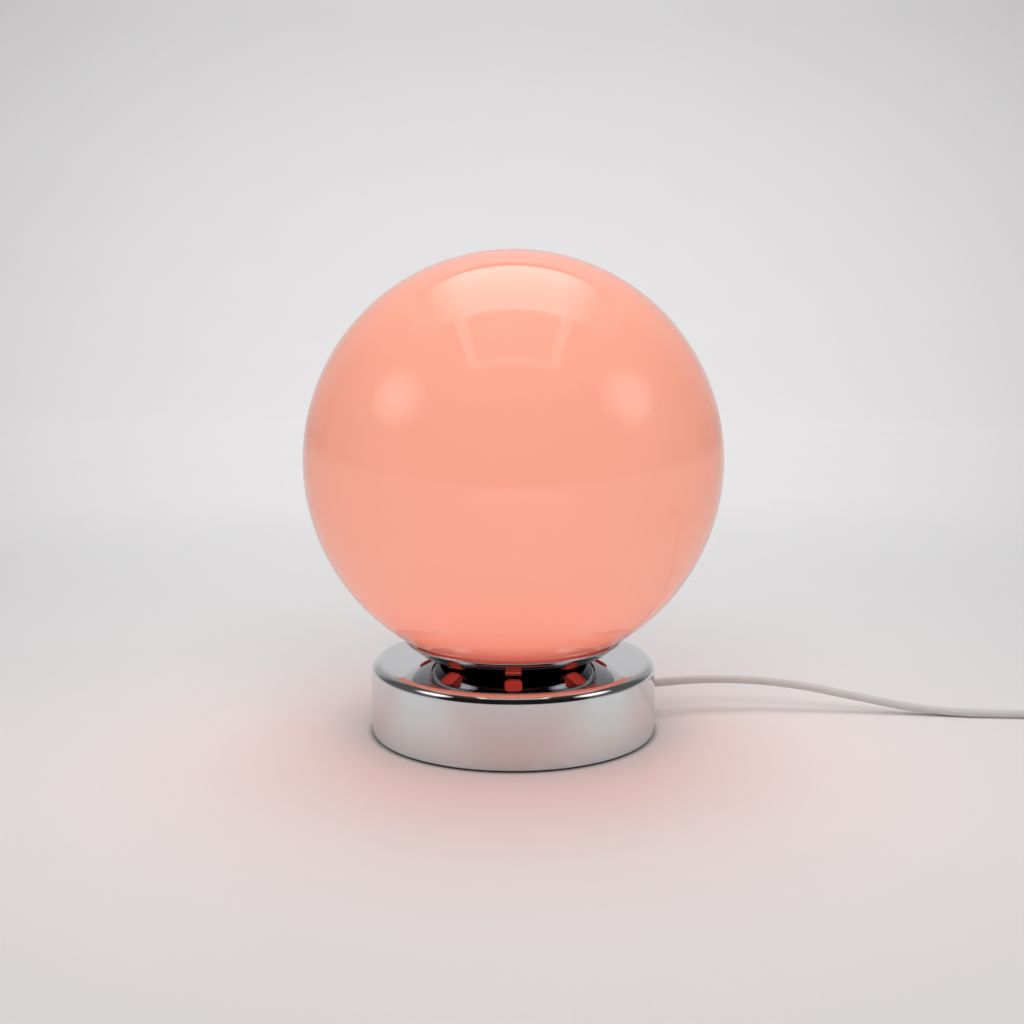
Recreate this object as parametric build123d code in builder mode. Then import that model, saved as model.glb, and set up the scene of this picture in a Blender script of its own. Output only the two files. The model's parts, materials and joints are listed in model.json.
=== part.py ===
"""Glass globe table lamp: a coral glass ball in a vented chrome gallery cup on a chrome drum base.

Millimetres, +Z up. The origin is on the table under the lamp's axis, and the front is -Y.
"""
import os
from math import asin, copysign, cos, hypot, pi, radians, sin, sqrt, tan

from build123d import *

os.makedirs("parts", exist_ok=True)

# ---------------------------------------------------------------- driving dimensions
# chrome drum base
base_diameter = 138.0
base_height = 35.4            # table to mirror top
base_wall = 1.2
base_edge_radius = 4.5        # rounded edge between the top and the side
skirt_gap = 0.9               # table to the lower edge of the drum
pad_thickness = 1.5
pad_inset = 3.0               # drum's side to the pad's outer edge
pad_width = 20.0
cover_thickness = 2.0         # plate that closes the drum from below
cover_gap = 0.3               # between the plate's edge and the drum's wall
ballast_gap = 4.3             # between the casting and the drum's wall
ballast_thickness = 11.0
post_diameter = 10.0          # posts cast under the ballast, which carry the cover plate
post_circle_diameter = 76.0
post_count = 3
post_turn = 50.0              # degrees from the front to the first post

# gallery cup that cradles the globe
cup_foot_diameter = 72.0
cup_rim_diameter = 106.6
cup_rise = 10.2               # mirror top to the outer corner of the rim
cup_bow = 1.0                 # how far the wall bulges outwards from a straight cone
cup_wall = 1.2
vent_count = 8
vent_width = 8.0
vent_length = 8.4             # along the slope of the wall
vent_corner = 2.2
vent_radius = 42.0            # distance of each window's centre from the axis
seat_lean = 31.6              # degrees up the wall's arc to the silicone ring that fills its gap to the glass
seat_gap = 0.3                # between the ring and the cup's wall

# glass globe
globe_diameter = 200.0
globe_wall = 3.0
globe_mouth_diameter = 66.0
globe_lip_radius = 0.8
glass_clearance = 0.3         # between the glass and whatever it rests in

# threaded tube and its hardware
tube_diameter = 10.0          # M10 x 1 lamp tube
tube_bore = 7.9
tube_fit = 0.1                # radial, plain holes round the tube
tube_tail = 2.0               # tube showing below the lower nut
nut_across_flats = 14.0
nut_thickness = 3.0
washer_diameter = 20.0
washer_thickness = 1.0
thread_fit = 0.05             # radial, threaded holes round a thread
hole_fit = 0.1                # radial, plain holes round screws, rivets and pins

# spring clips that centre the mouth of the globe
carrier_diameter = 54.0
carrier_thickness = 1.0
clip_count = 3
clip_turn = 30.0
clip_width = 9.0
clip_thickness = 0.6
clip_height = 9.0
clip_foot_radius = 17.0       # inner end of each clip's foot, from the axis
clip_lean = 2.2               # how far the lower leg leans outwards
clip_return = 3.2             # how far the upper leg leans back in
clip_knee = 0.45              # share of the height at which the two legs meet
clip_bend_radius = 1.5
rivet_radius = 22.0           # distance of each rivet from the axis
rivet_diameter = 3.0
rivet_head_diameter = 5.4
rivet_head_height = 1.1

# E14 lampholder
holder_diameter = 27.0
holder_wall = 1.5
holder_neck_diameter = 16.0
holder_cap_height = 14.0
holder_barrel_height = 31.0
holder_socket_depth = 9.0     # tube thread inside the holder's cap
insert_thickness = 6.0
insert_seat = 2.0             # cap's top face to the underside of the insert
shell_wall = 0.4
shell_recess = 1.5            # barrel's top edge to the top of the screw shell
contact_height = 2.2
contact_width = 5.0
contact_thickness = 0.5
contact_bend_radius = 0.4
terminal_diameter = 3.6
terminal_height = 4.5
slot_width = 0.8              # screwdriver slots
slot_depth = 0.8
slot_length = 3.6             # arms of the crossed slots
core_diameter = 2.2           # insulated cores inside the sheath
core_spread = 1.3             # cores from the axis where they leave the sheath
core_bend_radius = 1.4
core_run = 3.0                # straight end of a core below the insert
sheath_strip = 2.0            # end of the sheath to the top of the tube

# E14 golf ball bulb
bulb_cap_diameter = 13.9
bulb_cap_length = 25.0        # contact tip to the lower edge of the plastic body
bulb_tip_diameter = 4.6
bulb_tip_height = 1.2
bulb_insulator_height = 3.4
bulb_length = 80.0
bulb_diameter = 45.0
bulb_body_length = 27.0       # tapered plastic body between the cap and the opal dome
bulb_dome_wall = 1.0
led_board_thickness = 1.6
bulb_neck_flare = 1.2         # how far the plastic body stands out from the cap
bulb_body_curve = 59.4        # radius of the plastic body's side
led_board_inset = 2.0         # dome's foot to the edge of the board
led_chip_count = 8
led_chip_width = 2.8
led_chip_length = 3.5
led_chip_height = 0.7
led_circle_radius = 13.5
screw_fit = 0.3               # radial, bulb cap inside the screw shell

# flat twin flex and its entry into the base
flex_width = 5.6
flex_height = 3.6
flex_fit = 0.1
entry_turn = 110.0            # degrees from the front
entry_height = 15.0
bush_neck_diameter = 8.6
bush_flange_diameter = 11.0
bush_flange_thickness = 1.4
bush_nose_length = 3.4
bush_nose_diameter = 7.4
bush_shoulder = 0.8           # step from the flange to the foot of the nose
bush_clip_diameter = 9.8
bush_clip_thickness = 1.6
bush_clip_gap = 0.4           # base wall to the clip behind it
bush_clip_taper = 12.0
bush_length = 20.0            # enough to bore the whole bush
clamp_radius = 50.0           # distance of the cord grip from the axis
clamp_length = 12.0
clamp_span = 22.0
clamp_bar_thickness = 3.0
clamp_bar_corner = 2.0
clamp_screw_spacing = 15.0
screw_diameter = 3.0
screw_head_diameter = 5.6
screw_head_height = 1.65
screw_depth = 8.0             # threaded holes in the posts and the grip's pad
screw_end_gap = 1.0           # tip of a screw to the end of its hole
inner_sag_reach = 18.0        # where the flex reaches the floor of the base, from the axis
inner_run = 4.0               # straight flex past the grip
inner_drop_radii = [20.0, 30.0, 8.5]

# inline rocker switch on the flex
flex_grip = 4.0               # how far the flex reaches into each end
switch_length = 58.0
switch_width = 25.0
switch_end_width = 13.0
switch_height = 15.5
switch_parting = 6.6          # table to the joint between the two halves
switch_wall = 1.8
switch_edge = 3.0
switch_cord_height = 4.4      # table to the middle of the flex in the switch
rocker_length = 19.4
rocker_width = 9.4
rocker_gap = 0.3              # all round the rocker in its window
rocker_pivot_drop = 3.4       # pivot below the top of the cover
rocker_throw = 16.0           # degrees from one rest to the other
rocker_depth = 3.6            # of the rocker's body below its pivot
pivot_diameter = 2.0
pivot_fit = 0.05
ear_thickness = 2.4
switch_screw_spacing = 38.0
boss_wall = 1.2               # round the screw holes in the switch

# flat two-pin plug
plug_width = 35.3
plug_height = 13.7
plug_body_length = 35.0
plug_corner = 5.6
plug_flare_length = 26.0      # from the cord's end to the full width
plug_flare_step = 5.0         # how much narrower it is halfway along the flare
plug_rear_width = 13.0
plug_rear_height = 10.0
pin_diameter = 4.0
pin_length = 19.0
pin_spacing = 18.6
sleeve_length = 10.0
sleeve_diameter = 3.9
sleeve_bore = 3.1             # pin's neck inside its sleeve
pin_tip_radius = 1.6
relief_length = 24.0
relief_tip_width = 8.0
relief_tip_height = 6.0
relief_rear_width = 11.0
relief_rear_height = 8.4
relief_corner = 2.7
relief_rib_count = 5
relief_skin = 0.4             # moulding left round the flex in the grooves

# coil that puts the unseen flex away, on edge, and its tie
coil_pitch = 4.1              # between turns side by side
coil_layer = 6.1              # between the two layers
coil_inner_radius = 22.8      # least radius of the flex's middle
coil_half_turns = 15
coil_bottom = 0.9             # table to the lowest turn, which leaves room for the tie
twist_length = 44.0           # straight lengths where the flex turns on edge
tie_width = 8.0
tie_thickness = 0.6
tie_clearance = 0.5           # tie round the turns, sideways
tie_float = 0.2               # tie above and below the turns
tie_tab_length = 15.0

guide_rise = 20.0             # guide above a swept flex

# middle of the flex from the base to the switch, which lies free on the table
lay_gap = 0.05                # table to whatever lies on it
lay_height = flex_height / 2 + lay_gap
cord_route = [
    (84.0, 30.6, entry_height),
    (100.0, 34.0, 14.9),
    (122.0, 34.5, 14.5),
    (148.0, 31.5, 12.4),
    (175.0, 27.0, 7.6),
    (202.0, 21.5, 3.4),
    (226.0, 17.2, lay_height),
    (250.0, 15.6, lay_height),
    (268.0, 15.2, lay_height),
    (285.0, 15.4, switch_cord_height),
    (304.0, 15.4, switch_cord_height),
]

# ---------------------------------------------------------------- places worked out from them
base_radius = base_diameter / 2
cup_foot_radius = cup_foot_diameter / 2
cup_rim_radius = cup_rim_diameter / 2
globe_radius = globe_diameter / 2
tube_radius = tube_diameter / 2
tube_hole_radius = tube_radius + tube_fit
thread_hole_radius = tube_radius + thread_fit

# the cup's wall is one arc from its foot to its rim
wall_run = cup_rim_radius - cup_foot_radius
wall_chord = hypot(wall_run, cup_rise)
wall_radius = (wall_chord**2 / 4 + cup_bow**2) / (2 * cup_bow)
wall_slope = asin(cup_rise / wall_chord)
wall_half_angle = asin(wall_chord / 2 / wall_radius)
wall_center = (
    (cup_foot_radius + cup_rim_radius) / 2 - (wall_radius - cup_bow) * sin(wall_slope),
    base_height + cup_rise / 2 + (wall_radius - cup_bow) * cos(wall_slope),
)
rim_lean = wall_slope + wall_half_angle
rim_inner_radius = cup_rim_radius - cup_wall * sin(rim_lean)
rim_inner_height = base_height + cup_rise + cup_wall * cos(rim_lean)

# the globe rests in the rim
globe_center = rim_inner_height + sqrt((globe_radius + glass_clearance) ** 2 - rim_inner_radius**2)
globe_mouth_radius = globe_mouth_diameter / 2

# the round silicone ring lies on a line from the wall's centre, and fills the space there but for its gaps
seat_reach = wall_radius - cup_wall - seat_gap
seat_line = (sin(radians(seat_lean)), -cos(radians(seat_lean)))
centers_run = (wall_center[0], wall_center[1] - globe_center)
centers_along = centers_run[0] * seat_line[0] + centers_run[1] * seat_line[1]
seat_span = globe_radius + glass_clearance + seat_reach
seat_from_wall = (seat_span**2 - hypot(*centers_run) ** 2) / (2 * (seat_span + centers_along))
seat_thickness = 2 * (seat_reach - seat_from_wall)
seat_center = (
    wall_center[0] + seat_from_wall * seat_line[0],
    wall_center[1] + seat_from_wall * seat_line[1],
)

# the stack on the threaded tube, upwards from the mirror top
cup_floor_top = base_height + cup_wall
carrier_top = cup_floor_top + carrier_thickness
upper_washer_top = carrier_top + washer_thickness
upper_nut_top = upper_washer_top + nut_thickness
holder_cap_top = upper_nut_top + holder_cap_height
tube_top = upper_nut_top + holder_socket_depth
insert_bottom = holder_cap_top + insert_seat
insert_top = insert_bottom + insert_thickness
barrel_top = holder_cap_top + holder_barrel_height
holder_radius = holder_diameter / 2
holder_bore_radius = holder_radius - holder_wall

# and downwards
base_ceiling = base_height - base_wall
ballast_bottom = base_ceiling - ballast_thickness
lower_washer_bottom = ballast_bottom - washer_thickness
lower_nut_bottom = lower_washer_bottom - nut_thickness
tube_bottom = lower_nut_bottom - tube_tail
cover_top = pad_thickness + cover_thickness
cover_radius = base_radius - base_wall - cover_gap

# the bulb
bulb_tip = insert_top + contact_height + screw_fit
bulb_cap_top = bulb_tip + bulb_cap_length
bulb_cap_radius = bulb_cap_diameter / 2
bulb_radius = bulb_diameter / 2
bulb_center = bulb_tip + bulb_length - bulb_radius
bulb_body_top = bulb_cap_top + bulb_body_length
dome_foot_radius = sqrt(bulb_radius**2 - (bulb_center - bulb_body_top) ** 2)
shell_inner_radius = bulb_cap_radius + screw_fit


def around(turn, radius, height):
    """Point at a turn in degrees from the front, a radius from the axis and a height."""
    return (radius * sin(radians(turn)), -radius * cos(radians(turn)), height)


def outward(turn):
    """Unit vector that points away from the axis at a turn from the front."""
    return Vector(*around(turn, 1, 0))


def sideways(turn):
    """Unit vector along the wall at a turn from the front."""
    return Vector(cos(radians(turn)), sin(radians(turn)), 0)


def radial_plane(turn, radius=0.0, height=0.0):
    """Plane that faces away from the axis, with its Y axis upwards."""
    return Plane(origin=around(turn, radius, height), x_dir=sideways(turn), z_dir=outward(turn))


# ---------------------------------------------------------------- chrome drum base
with BuildPart() as base_housing:
    with BuildSketch(Plane.XY.offset(skirt_gap)):
        Circle(base_radius)
    extrude(amount=base_height - skirt_gap)
    fillet(base_housing.edges().sort_by(Axis.Z)[-1], radius=base_edge_radius)
    offset(amount=-base_wall, openings=base_housing.faces().sort_by(Axis.Z)[0])
    with BuildSketch(Plane.XY.offset(base_height)):
        Circle(tube_hole_radius)
    extrude(amount=-2 * base_wall, mode=Mode.SUBTRACT)
    with BuildSketch(radial_plane(entry_turn, base_radius + base_wall, entry_height)):
        Circle(bush_neck_diameter / 2 + flex_fit)
    extrude(amount=-4 * base_wall, mode=Mode.SUBTRACT)
base_housing.part.label = "base_housing"
export_step(base_housing.part, "parts/base_housing.step")

post_turns = [post_turn + i * 360 / post_count for i in range(post_count)]
post_spots = [around(turn, post_circle_diameter / 2, 0)[:2] for turn in post_turns]

clamp_top = entry_height + flex_height / 2
grip_plane = Plane(origin=around(entry_turn, clamp_radius, 0), x_dir=sideways(entry_turn), z_dir=(0, 0, 1))

with BuildPart() as ballast_disc:
    with BuildSketch(Plane.XY.offset(ballast_bottom)):
        Circle(base_radius - base_wall - ballast_gap)
    extrude(amount=ballast_thickness)
    chamfer(ballast_disc.edges().group_by(Axis.Z)[-1], length=base_edge_radius - base_wall)
    with BuildSketch(Plane.XY.offset(cover_top)):
        with Locations(*post_spots):
            Circle(post_diameter / 2)
    extrude(amount=ballast_bottom - cover_top)
    with BuildSketch(grip_plane.offset(clamp_top)):
        Rectangle(clamp_span, clamp_length)
    extrude(amount=ballast_bottom - clamp_top)
    with BuildSketch(Plane.XY.offset(cover_top)):
        with Locations(*post_spots):
            Circle(screw_diameter / 2 + thread_fit)
    extrude(amount=screw_depth, mode=Mode.SUBTRACT)
    with BuildSketch(grip_plane.offset(clamp_top)):
        with GridLocations(clamp_screw_spacing, 1, 2, 1):
            Circle(screw_diameter / 2 + thread_fit)
    extrude(amount=screw_depth, mode=Mode.SUBTRACT)
    with BuildSketch(Plane.XY.offset(ballast_bottom)):
        Circle(tube_hole_radius)
    extrude(amount=ballast_thickness, mode=Mode.SUBTRACT)
ballast_disc.part.label = "ballast_disc"
export_step(ballast_disc.part, "parts/ballast_disc.step")

with BuildPart() as cover_plate:
    with BuildSketch(Plane.XY.offset(pad_thickness)):
        Circle(cover_radius)
    extrude(amount=cover_thickness)
    with Locations(*[(x, y, pad_thickness) for x, y in post_spots]):
        Cone(
            screw_head_diameter / 2 + hole_fit,
            screw_diameter / 2 + hole_fit,
            screw_head_height,
            align=(Align.CENTER, Align.CENTER, Align.MIN),
            mode=Mode.SUBTRACT,
        )
        Cylinder(
            screw_diameter / 2 + hole_fit,
            cover_thickness,
            align=(Align.CENTER, Align.CENTER, Align.MIN),
            mode=Mode.SUBTRACT,
        )
cover_plate.part.label = "cover_plate"
export_step(cover_plate.part, "parts/cover_plate.step")

with BuildPart() as cover_screws:
    with Locations(*[(x, y, pad_thickness) for x, y in post_spots]):
        Cone(
            screw_head_diameter / 2,
            screw_diameter / 2,
            screw_head_height,
            align=(Align.CENTER, Align.CENTER, Align.MIN),
        )
        Cylinder(
            screw_diameter / 2,
            cover_thickness + screw_depth - screw_end_gap,
            align=(Align.CENTER, Align.CENTER, Align.MIN),
        )
    with BuildSketch(Plane.XY.offset(pad_thickness)):
        with Locations(*post_spots):
            Rectangle(slot_length, slot_width)
            Rectangle(slot_width, slot_length)
    extrude(amount=slot_depth, mode=Mode.SUBTRACT)
cover_screws.part.label = "cover_screws"
export_step(cover_screws.part, "parts/cover_screws.step")

with BuildPart() as base_pad:
    with BuildSketch():
        Circle(base_radius - pad_inset)
        Circle(base_radius - pad_inset - pad_width, mode=Mode.SUBTRACT)
    extrude(amount=pad_thickness)
base_pad.part.label = "base_pad"
export_step(base_pad.part, "parts/base_pad.step")

# ---------------------------------------------------------------- gallery cup with its vents
vent_lean = asin((vent_radius - wall_center[0]) / wall_radius)
vent_height = wall_center[1] - wall_radius * cos(vent_lean)


def vent_plane(turn):
    """Plane square to the cup's wall at the middle of one window, facing out of the cup."""
    facing = outward(turn) * sin(vent_lean) - Vector(0, 0, 1) * cos(vent_lean)
    return Plane(origin=around(turn, vent_radius, vent_height), x_dir=sideways(turn), z_dir=facing)


with BuildPart() as gallery_cup:
    with BuildSketch(Plane.XZ):
        with BuildLine():
            rim_outer = (cup_rim_radius, base_height + cup_rise)
            rim_inner = (rim_inner_radius, rim_inner_height)
            foot_outer = (cup_foot_radius, base_height)
            bend_radius = wall_radius - cup_wall
            bend_lean = asin((cup_foot_radius - wall_center[0]) / bend_radius)
            bend = (cup_foot_radius, wall_center[1] - bend_radius * cos(bend_lean))
            RadiusArc(foot_outer, rim_outer, -wall_radius, short_sagitta=True)
            Line(rim_outer, rim_inner)
            RadiusArc(rim_inner, bend, bend_radius, short_sagitta=True)
            Polyline(bend, (cup_foot_radius - (bend[1] - cup_floor_top), cup_floor_top),
                     (tube_hole_radius, cup_floor_top), (tube_hole_radius, base_height), foot_outer)
        make_face()
    revolve(axis=Axis.Z)
    rim_edges = gallery_cup.edges().filter_by(GeomType.CIRCLE).sort_by(SortBy.RADIUS)[-2:]
    fillet(rim_edges, radius=0.4 * cup_wall)
    with BuildSketch(*[vent_plane(i * 360 / vent_count) for i in range(vent_count)]):
        RectangleRounded(vent_width, vent_length, vent_corner)
    extrude(amount=1.5 * cup_wall, both=True, mode=Mode.SUBTRACT)
gallery_cup.part.label = "gallery_cup"
export_step(gallery_cup.part, "parts/gallery_cup.step")

with BuildPart() as globe_seat_ring:
    with BuildSketch(Plane.XZ):
        with Locations(seat_center):
            Circle(seat_thickness / 2)
    revolve(axis=Axis.Z)
globe_seat_ring.part.label = "globe_seat_ring"
export_step(globe_seat_ring.part, "parts/globe_seat_ring.step")

# ---------------------------------------------------------------- glass globe
with BuildPart() as glass_globe:
    with Locations((0, 0, globe_center)):
        Sphere(globe_radius)
        Sphere(globe_radius - globe_wall, mode=Mode.SUBTRACT)
    with BuildSketch(Plane.XY):
        Circle(globe_mouth_radius)
    extrude(amount=globe_center, mode=Mode.SUBTRACT)
    fillet(glass_globe.edges().filter_by(GeomType.CIRCLE).sort_by(Axis.Z)[:2], radius=globe_lip_radius)
glass_globe.part.label = "glass_globe"
export_step(glass_globe.part, "parts/glass_globe.step")

# ---------------------------------------------------------------- threaded tube, nuts and washers
with BuildPart() as threaded_tube:
    with BuildSketch(Plane.XY.offset(tube_bottom)):
        Circle(tube_radius)
        Circle(tube_bore / 2, mode=Mode.SUBTRACT)
    extrude(amount=tube_top - tube_bottom)
threaded_tube.part.label = "threaded_tube"
export_step(threaded_tube.part, "parts/threaded_tube.step")

with BuildPart() as lower_nut:
    with BuildSketch(Plane.XY.offset(lower_nut_bottom)):
        RegularPolygon(nut_across_flats / 2, 6, major_radius=False)
        Circle(thread_hole_radius, mode=Mode.SUBTRACT)
    extrude(amount=nut_thickness)
lower_nut.part.label = "lower_nut"
export_step(lower_nut.part, "parts/lower_nut.step")

with BuildPart() as upper_nut:
    with BuildSketch(Plane.XY.offset(upper_washer_top)):
        RegularPolygon(nut_across_flats / 2, 6, major_radius=False)
        Circle(thread_hole_radius, mode=Mode.SUBTRACT)
    extrude(amount=nut_thickness)
upper_nut.part.label = "upper_nut"
export_step(upper_nut.part, "parts/upper_nut.step")

with BuildPart() as lower_washer:
    with BuildSketch(Plane.XY.offset(lower_washer_bottom)):
        Circle(washer_diameter / 2)
        Circle(tube_hole_radius, mode=Mode.SUBTRACT)
    extrude(amount=washer_thickness)
lower_washer.part.label = "lower_washer"
export_step(lower_washer.part, "parts/lower_washer.step")

with BuildPart() as upper_washer:
    with BuildSketch(Plane.XY.offset(carrier_top)):
        Circle(washer_diameter / 2)
        Circle(tube_hole_radius, mode=Mode.SUBTRACT)
    extrude(amount=washer_thickness)
upper_washer.part.label = "upper_washer"
export_step(upper_washer.part, "parts/upper_washer.step")

# ---------------------------------------------------------------- clips that centre the globe
clip_turns = [clip_turn + i * 360 / clip_count for i in range(clip_count)]
rivet_spots = [around(turn, rivet_radius, 0)[:2] for turn in clip_turns]

with BuildPart() as clip_carrier:
    with BuildSketch(Plane.XY.offset(cup_floor_top)):
        Circle(carrier_diameter / 2)
        Circle(tube_hole_radius, mode=Mode.SUBTRACT)
        with Locations(*rivet_spots):
            Circle(rivet_diameter / 2 + hole_fit, mode=Mode.SUBTRACT)
    extrude(amount=carrier_thickness)
clip_carrier.part.label = "clip_carrier"
export_step(clip_carrier.part, "parts/clip_carrier.step")

clip_reach = globe_mouth_radius - glass_clearance - clip_thickness / 2
clip_foot_height = carrier_top + clip_thickness / 2
with BuildPart() as globe_clips:
    for turn in clip_turns:
        clip_side = Plane(origin=(0, 0, 0), x_dir=outward(turn), z_dir=-sideways(turn))
        with BuildSketch(clip_side):
            with BuildLine() as clip_line:
                FilletPolyline(
                    (clip_foot_radius, clip_foot_height),
                    (clip_reach - clip_lean, clip_foot_height),
                    (clip_reach, carrier_top + clip_knee * clip_height),
                    (clip_reach - clip_return, carrier_top + clip_height),
                    radius=clip_bend_radius,
                )
            trace(clip_line.wire(), line_width=clip_thickness)
        extrude(amount=clip_width / 2, both=True)
    with BuildSketch(Plane.XY.offset(carrier_top)):
        with Locations(*rivet_spots):
            Circle(rivet_diameter / 2 + hole_fit)
    extrude(amount=clip_thickness, mode=Mode.SUBTRACT)
globe_clips.part.label = "globe_clips"
export_step(globe_clips.part, "parts/globe_clips.step")

with BuildPart() as clip_rivets:
    with BuildSketch(Plane.XY.offset(cup_floor_top)):
        with Locations(*rivet_spots):
            Circle(rivet_diameter / 2)
    extrude(amount=carrier_thickness + clip_thickness)
    with BuildSketch(Plane.XY.offset(carrier_top + clip_thickness)):
        with Locations(*rivet_spots):
            Circle(rivet_head_diameter / 2)
    extrude(amount=rivet_head_height)
    fillet(clip_rivets.edges().group_by(Axis.Z)[-1], radius=0.8 * rivet_head_height)
clip_rivets.part.label = "clip_rivets"
export_step(clip_rivets.part, "parts/clip_rivets.step")

# ---------------------------------------------------------------- lampholder
with BuildPart() as holder_cap:
    with BuildSketch(Plane.XZ):
        with BuildLine():
            Polyline(
                (thread_hole_radius, upper_nut_top),
                (holder_neck_diameter / 2, upper_nut_top),
                (holder_neck_diameter / 2, upper_nut_top + 0.3 * holder_cap_height),
                (holder_radius, upper_nut_top + 0.75 * holder_cap_height),
                (holder_radius, holder_cap_top),
                (holder_bore_radius, holder_cap_top),
                (holder_bore_radius, upper_nut_top + 0.8 * holder_cap_height),
                (holder_neck_diameter / 2 - holder_wall / 2, tube_top),
                (thread_hole_radius, tube_top),
                close=True,
            )
        make_face()
    revolve(axis=Axis.Z)
holder_cap.part.label = "holder_cap"
export_step(holder_cap.part, "parts/holder_cap.step")

with BuildPart() as holder_barrel:
    with BuildSketch(Plane.XY.offset(holder_cap_top)):
        Circle(holder_radius)
    extrude(amount=holder_barrel_height)
    with BuildSketch(Plane.XY.offset(holder_cap_top)):
        Circle(holder_bore_radius)
    extrude(amount=holder_barrel_height, mode=Mode.SUBTRACT)
    fillet(holder_barrel.edges().sort_by(Axis.Z)[-2:], radius=0.4 * holder_wall)
holder_barrel.part.label = "holder_barrel"
export_step(holder_barrel.part, "parts/holder_barrel.step")

terminal_offset = (shell_inner_radius + shell_wall + holder_bore_radius) / 2
with BuildPart() as holder_insert:
    with BuildSketch(Plane.XY.offset(insert_bottom)):
        Circle(holder_bore_radius)
        with Locations((-terminal_offset, 0), (terminal_offset, 0)):
            Circle(core_diameter / 2 + hole_fit, mode=Mode.SUBTRACT)
    extrude(amount=insert_thickness)
holder_insert.part.label = "holder_insert"
export_step(holder_insert.part, "parts/holder_insert.step")

with BuildPart() as screw_shell:
    with BuildSketch(Plane.XY.offset(insert_top)):
        Circle(shell_inner_radius + shell_wall)
        Circle(shell_inner_radius, mode=Mode.SUBTRACT)
    extrude(amount=barrel_top - shell_recess - insert_top)
screw_shell.part.label = "screw_shell"
export_step(screw_shell.part, "parts/screw_shell.step")

with BuildPart() as centre_contact:
    with BuildSketch(Plane.XZ):
        with BuildLine() as tongue_line:
            FilletPolyline(
                (-0.7 * bulb_cap_radius, insert_top + contact_thickness / 2),
                (0, insert_top + contact_thickness / 2),
                (0.7 * bulb_tip_diameter, insert_top + contact_height - contact_thickness / 2),
                (-0.3 * bulb_cap_radius, insert_top + contact_height - contact_thickness / 2),
                radius=contact_bend_radius,
            )
        trace(tongue_line.wire(), line_width=contact_thickness)
    extrude(amount=contact_width / 2, both=True)
centre_contact.part.label = "centre_contact"
export_step(centre_contact.part, "parts/centre_contact.step")

with BuildPart() as contact_terminals:
    with BuildSketch(Plane.XY.offset(insert_top)):
        with Locations((-terminal_offset, 0), (terminal_offset, 0)):
            Circle(terminal_diameter / 2)
    extrude(amount=terminal_height)
    with BuildSketch(Plane.XY.offset(insert_top + terminal_height)):
        with Locations((-terminal_offset, 0), (terminal_offset, 0)):
            Rectangle(terminal_diameter, slot_width)
    extrude(amount=-slot_depth, mode=Mode.SUBTRACT)
contact_terminals.part.label = "contact_terminals"
export_step(contact_terminals.part, "parts/contact_terminals.step")

# ---------------------------------------------------------------- bulb
with BuildPart() as bulb_cap:
    with BuildSketch(Plane.XY.offset(bulb_tip + bulb_insulator_height + bulb_tip_height)):
        Circle(bulb_cap_radius)
    extrude(amount=bulb_cap_length - bulb_insulator_height - bulb_tip_height)
    chamfer(bulb_cap.edges().sort_by(Axis.Z)[0], length=0.1 * bulb_cap_radius)
bulb_cap.part.label = "bulb_cap"
export_step(bulb_cap.part, "parts/bulb_cap.step")

with BuildPart() as bulb_insulator:
    with Locations((0, 0, bulb_tip + bulb_tip_height)):
        Cone(
            bulb_tip_diameter / 2,
            0.85 * bulb_cap_radius,
            bulb_insulator_height,
            align=(Align.CENTER, Align.CENTER, Align.MIN),
        )
bulb_insulator.part.label = "bulb_insulator"
export_step(bulb_insulator.part, "parts/bulb_insulator.step")

with BuildPart() as bulb_tip_contact:
    with BuildSketch(Plane.XY.offset(bulb_tip)):
        Circle(bulb_tip_diameter / 2)
    extrude(amount=bulb_tip_height)
    fillet(bulb_tip_contact.edges().sort_by(Axis.Z)[0], radius=0.6 * bulb_tip_height)
bulb_tip_contact.part.label = "bulb_tip_contact"
export_step(bulb_tip_contact.part, "parts/bulb_tip_contact.step")

with BuildPart() as bulb_body:
    with BuildSketch(Plane.XZ):
        with BuildLine():
            neck = (bulb_cap_radius + bulb_neck_flare, bulb_cap_top)
            shoulder = (dome_foot_radius, bulb_body_top)
            Polyline((0, bulb_body_top), (0, bulb_cap_top), neck)
            RadiusArc(neck, shoulder, -bulb_body_curve)
            Line(shoulder, (0, bulb_body_top))
        make_face()
    revolve(axis=Axis.Z)
bulb_body.part.label = "bulb_body"
export_step(bulb_body.part, "parts/bulb_body.step")

with BuildPart() as bulb_dome:
    with Locations((0, 0, bulb_center)):
        Sphere(bulb_radius)
        Sphere(bulb_radius - bulb_dome_wall, mode=Mode.SUBTRACT)
    split(bisect_by=Plane.XY.offset(bulb_body_top), keep=Keep.TOP)
bulb_dome.part.label = "bulb_dome"
export_step(bulb_dome.part, "parts/bulb_dome.step")

with BuildPart() as led_board:
    with BuildSketch(Plane.XY.offset(bulb_body_top)):
        Circle(dome_foot_radius - led_board_inset)
    extrude(amount=led_board_thickness)
    with BuildSketch(Plane.XY.offset(bulb_body_top + led_board_thickness)):
        with PolarLocations(led_circle_radius, led_chip_count):
            Rectangle(led_chip_width, led_chip_length)
    extrude(amount=led_chip_height)
led_board.part.label = "led_board"
export_step(led_board.part, "parts/led_board.step")

# ---------------------------------------------------------------- entry bush and cord grip
bush_face = base_radius + bush_flange_thickness + bush_nose_length


def flex_section(plane, fit=0.0, upright=False):
    """Sketch of the flat flex on a plane whose Y axis is upwards, lying flat or on edge."""
    with BuildSketch(plane) as section:
        SlotOverall(flex_width + 2 * fit, flex_height + 2 * fit, rotation=90 if upright else 0)
    return section.sketch


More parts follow.
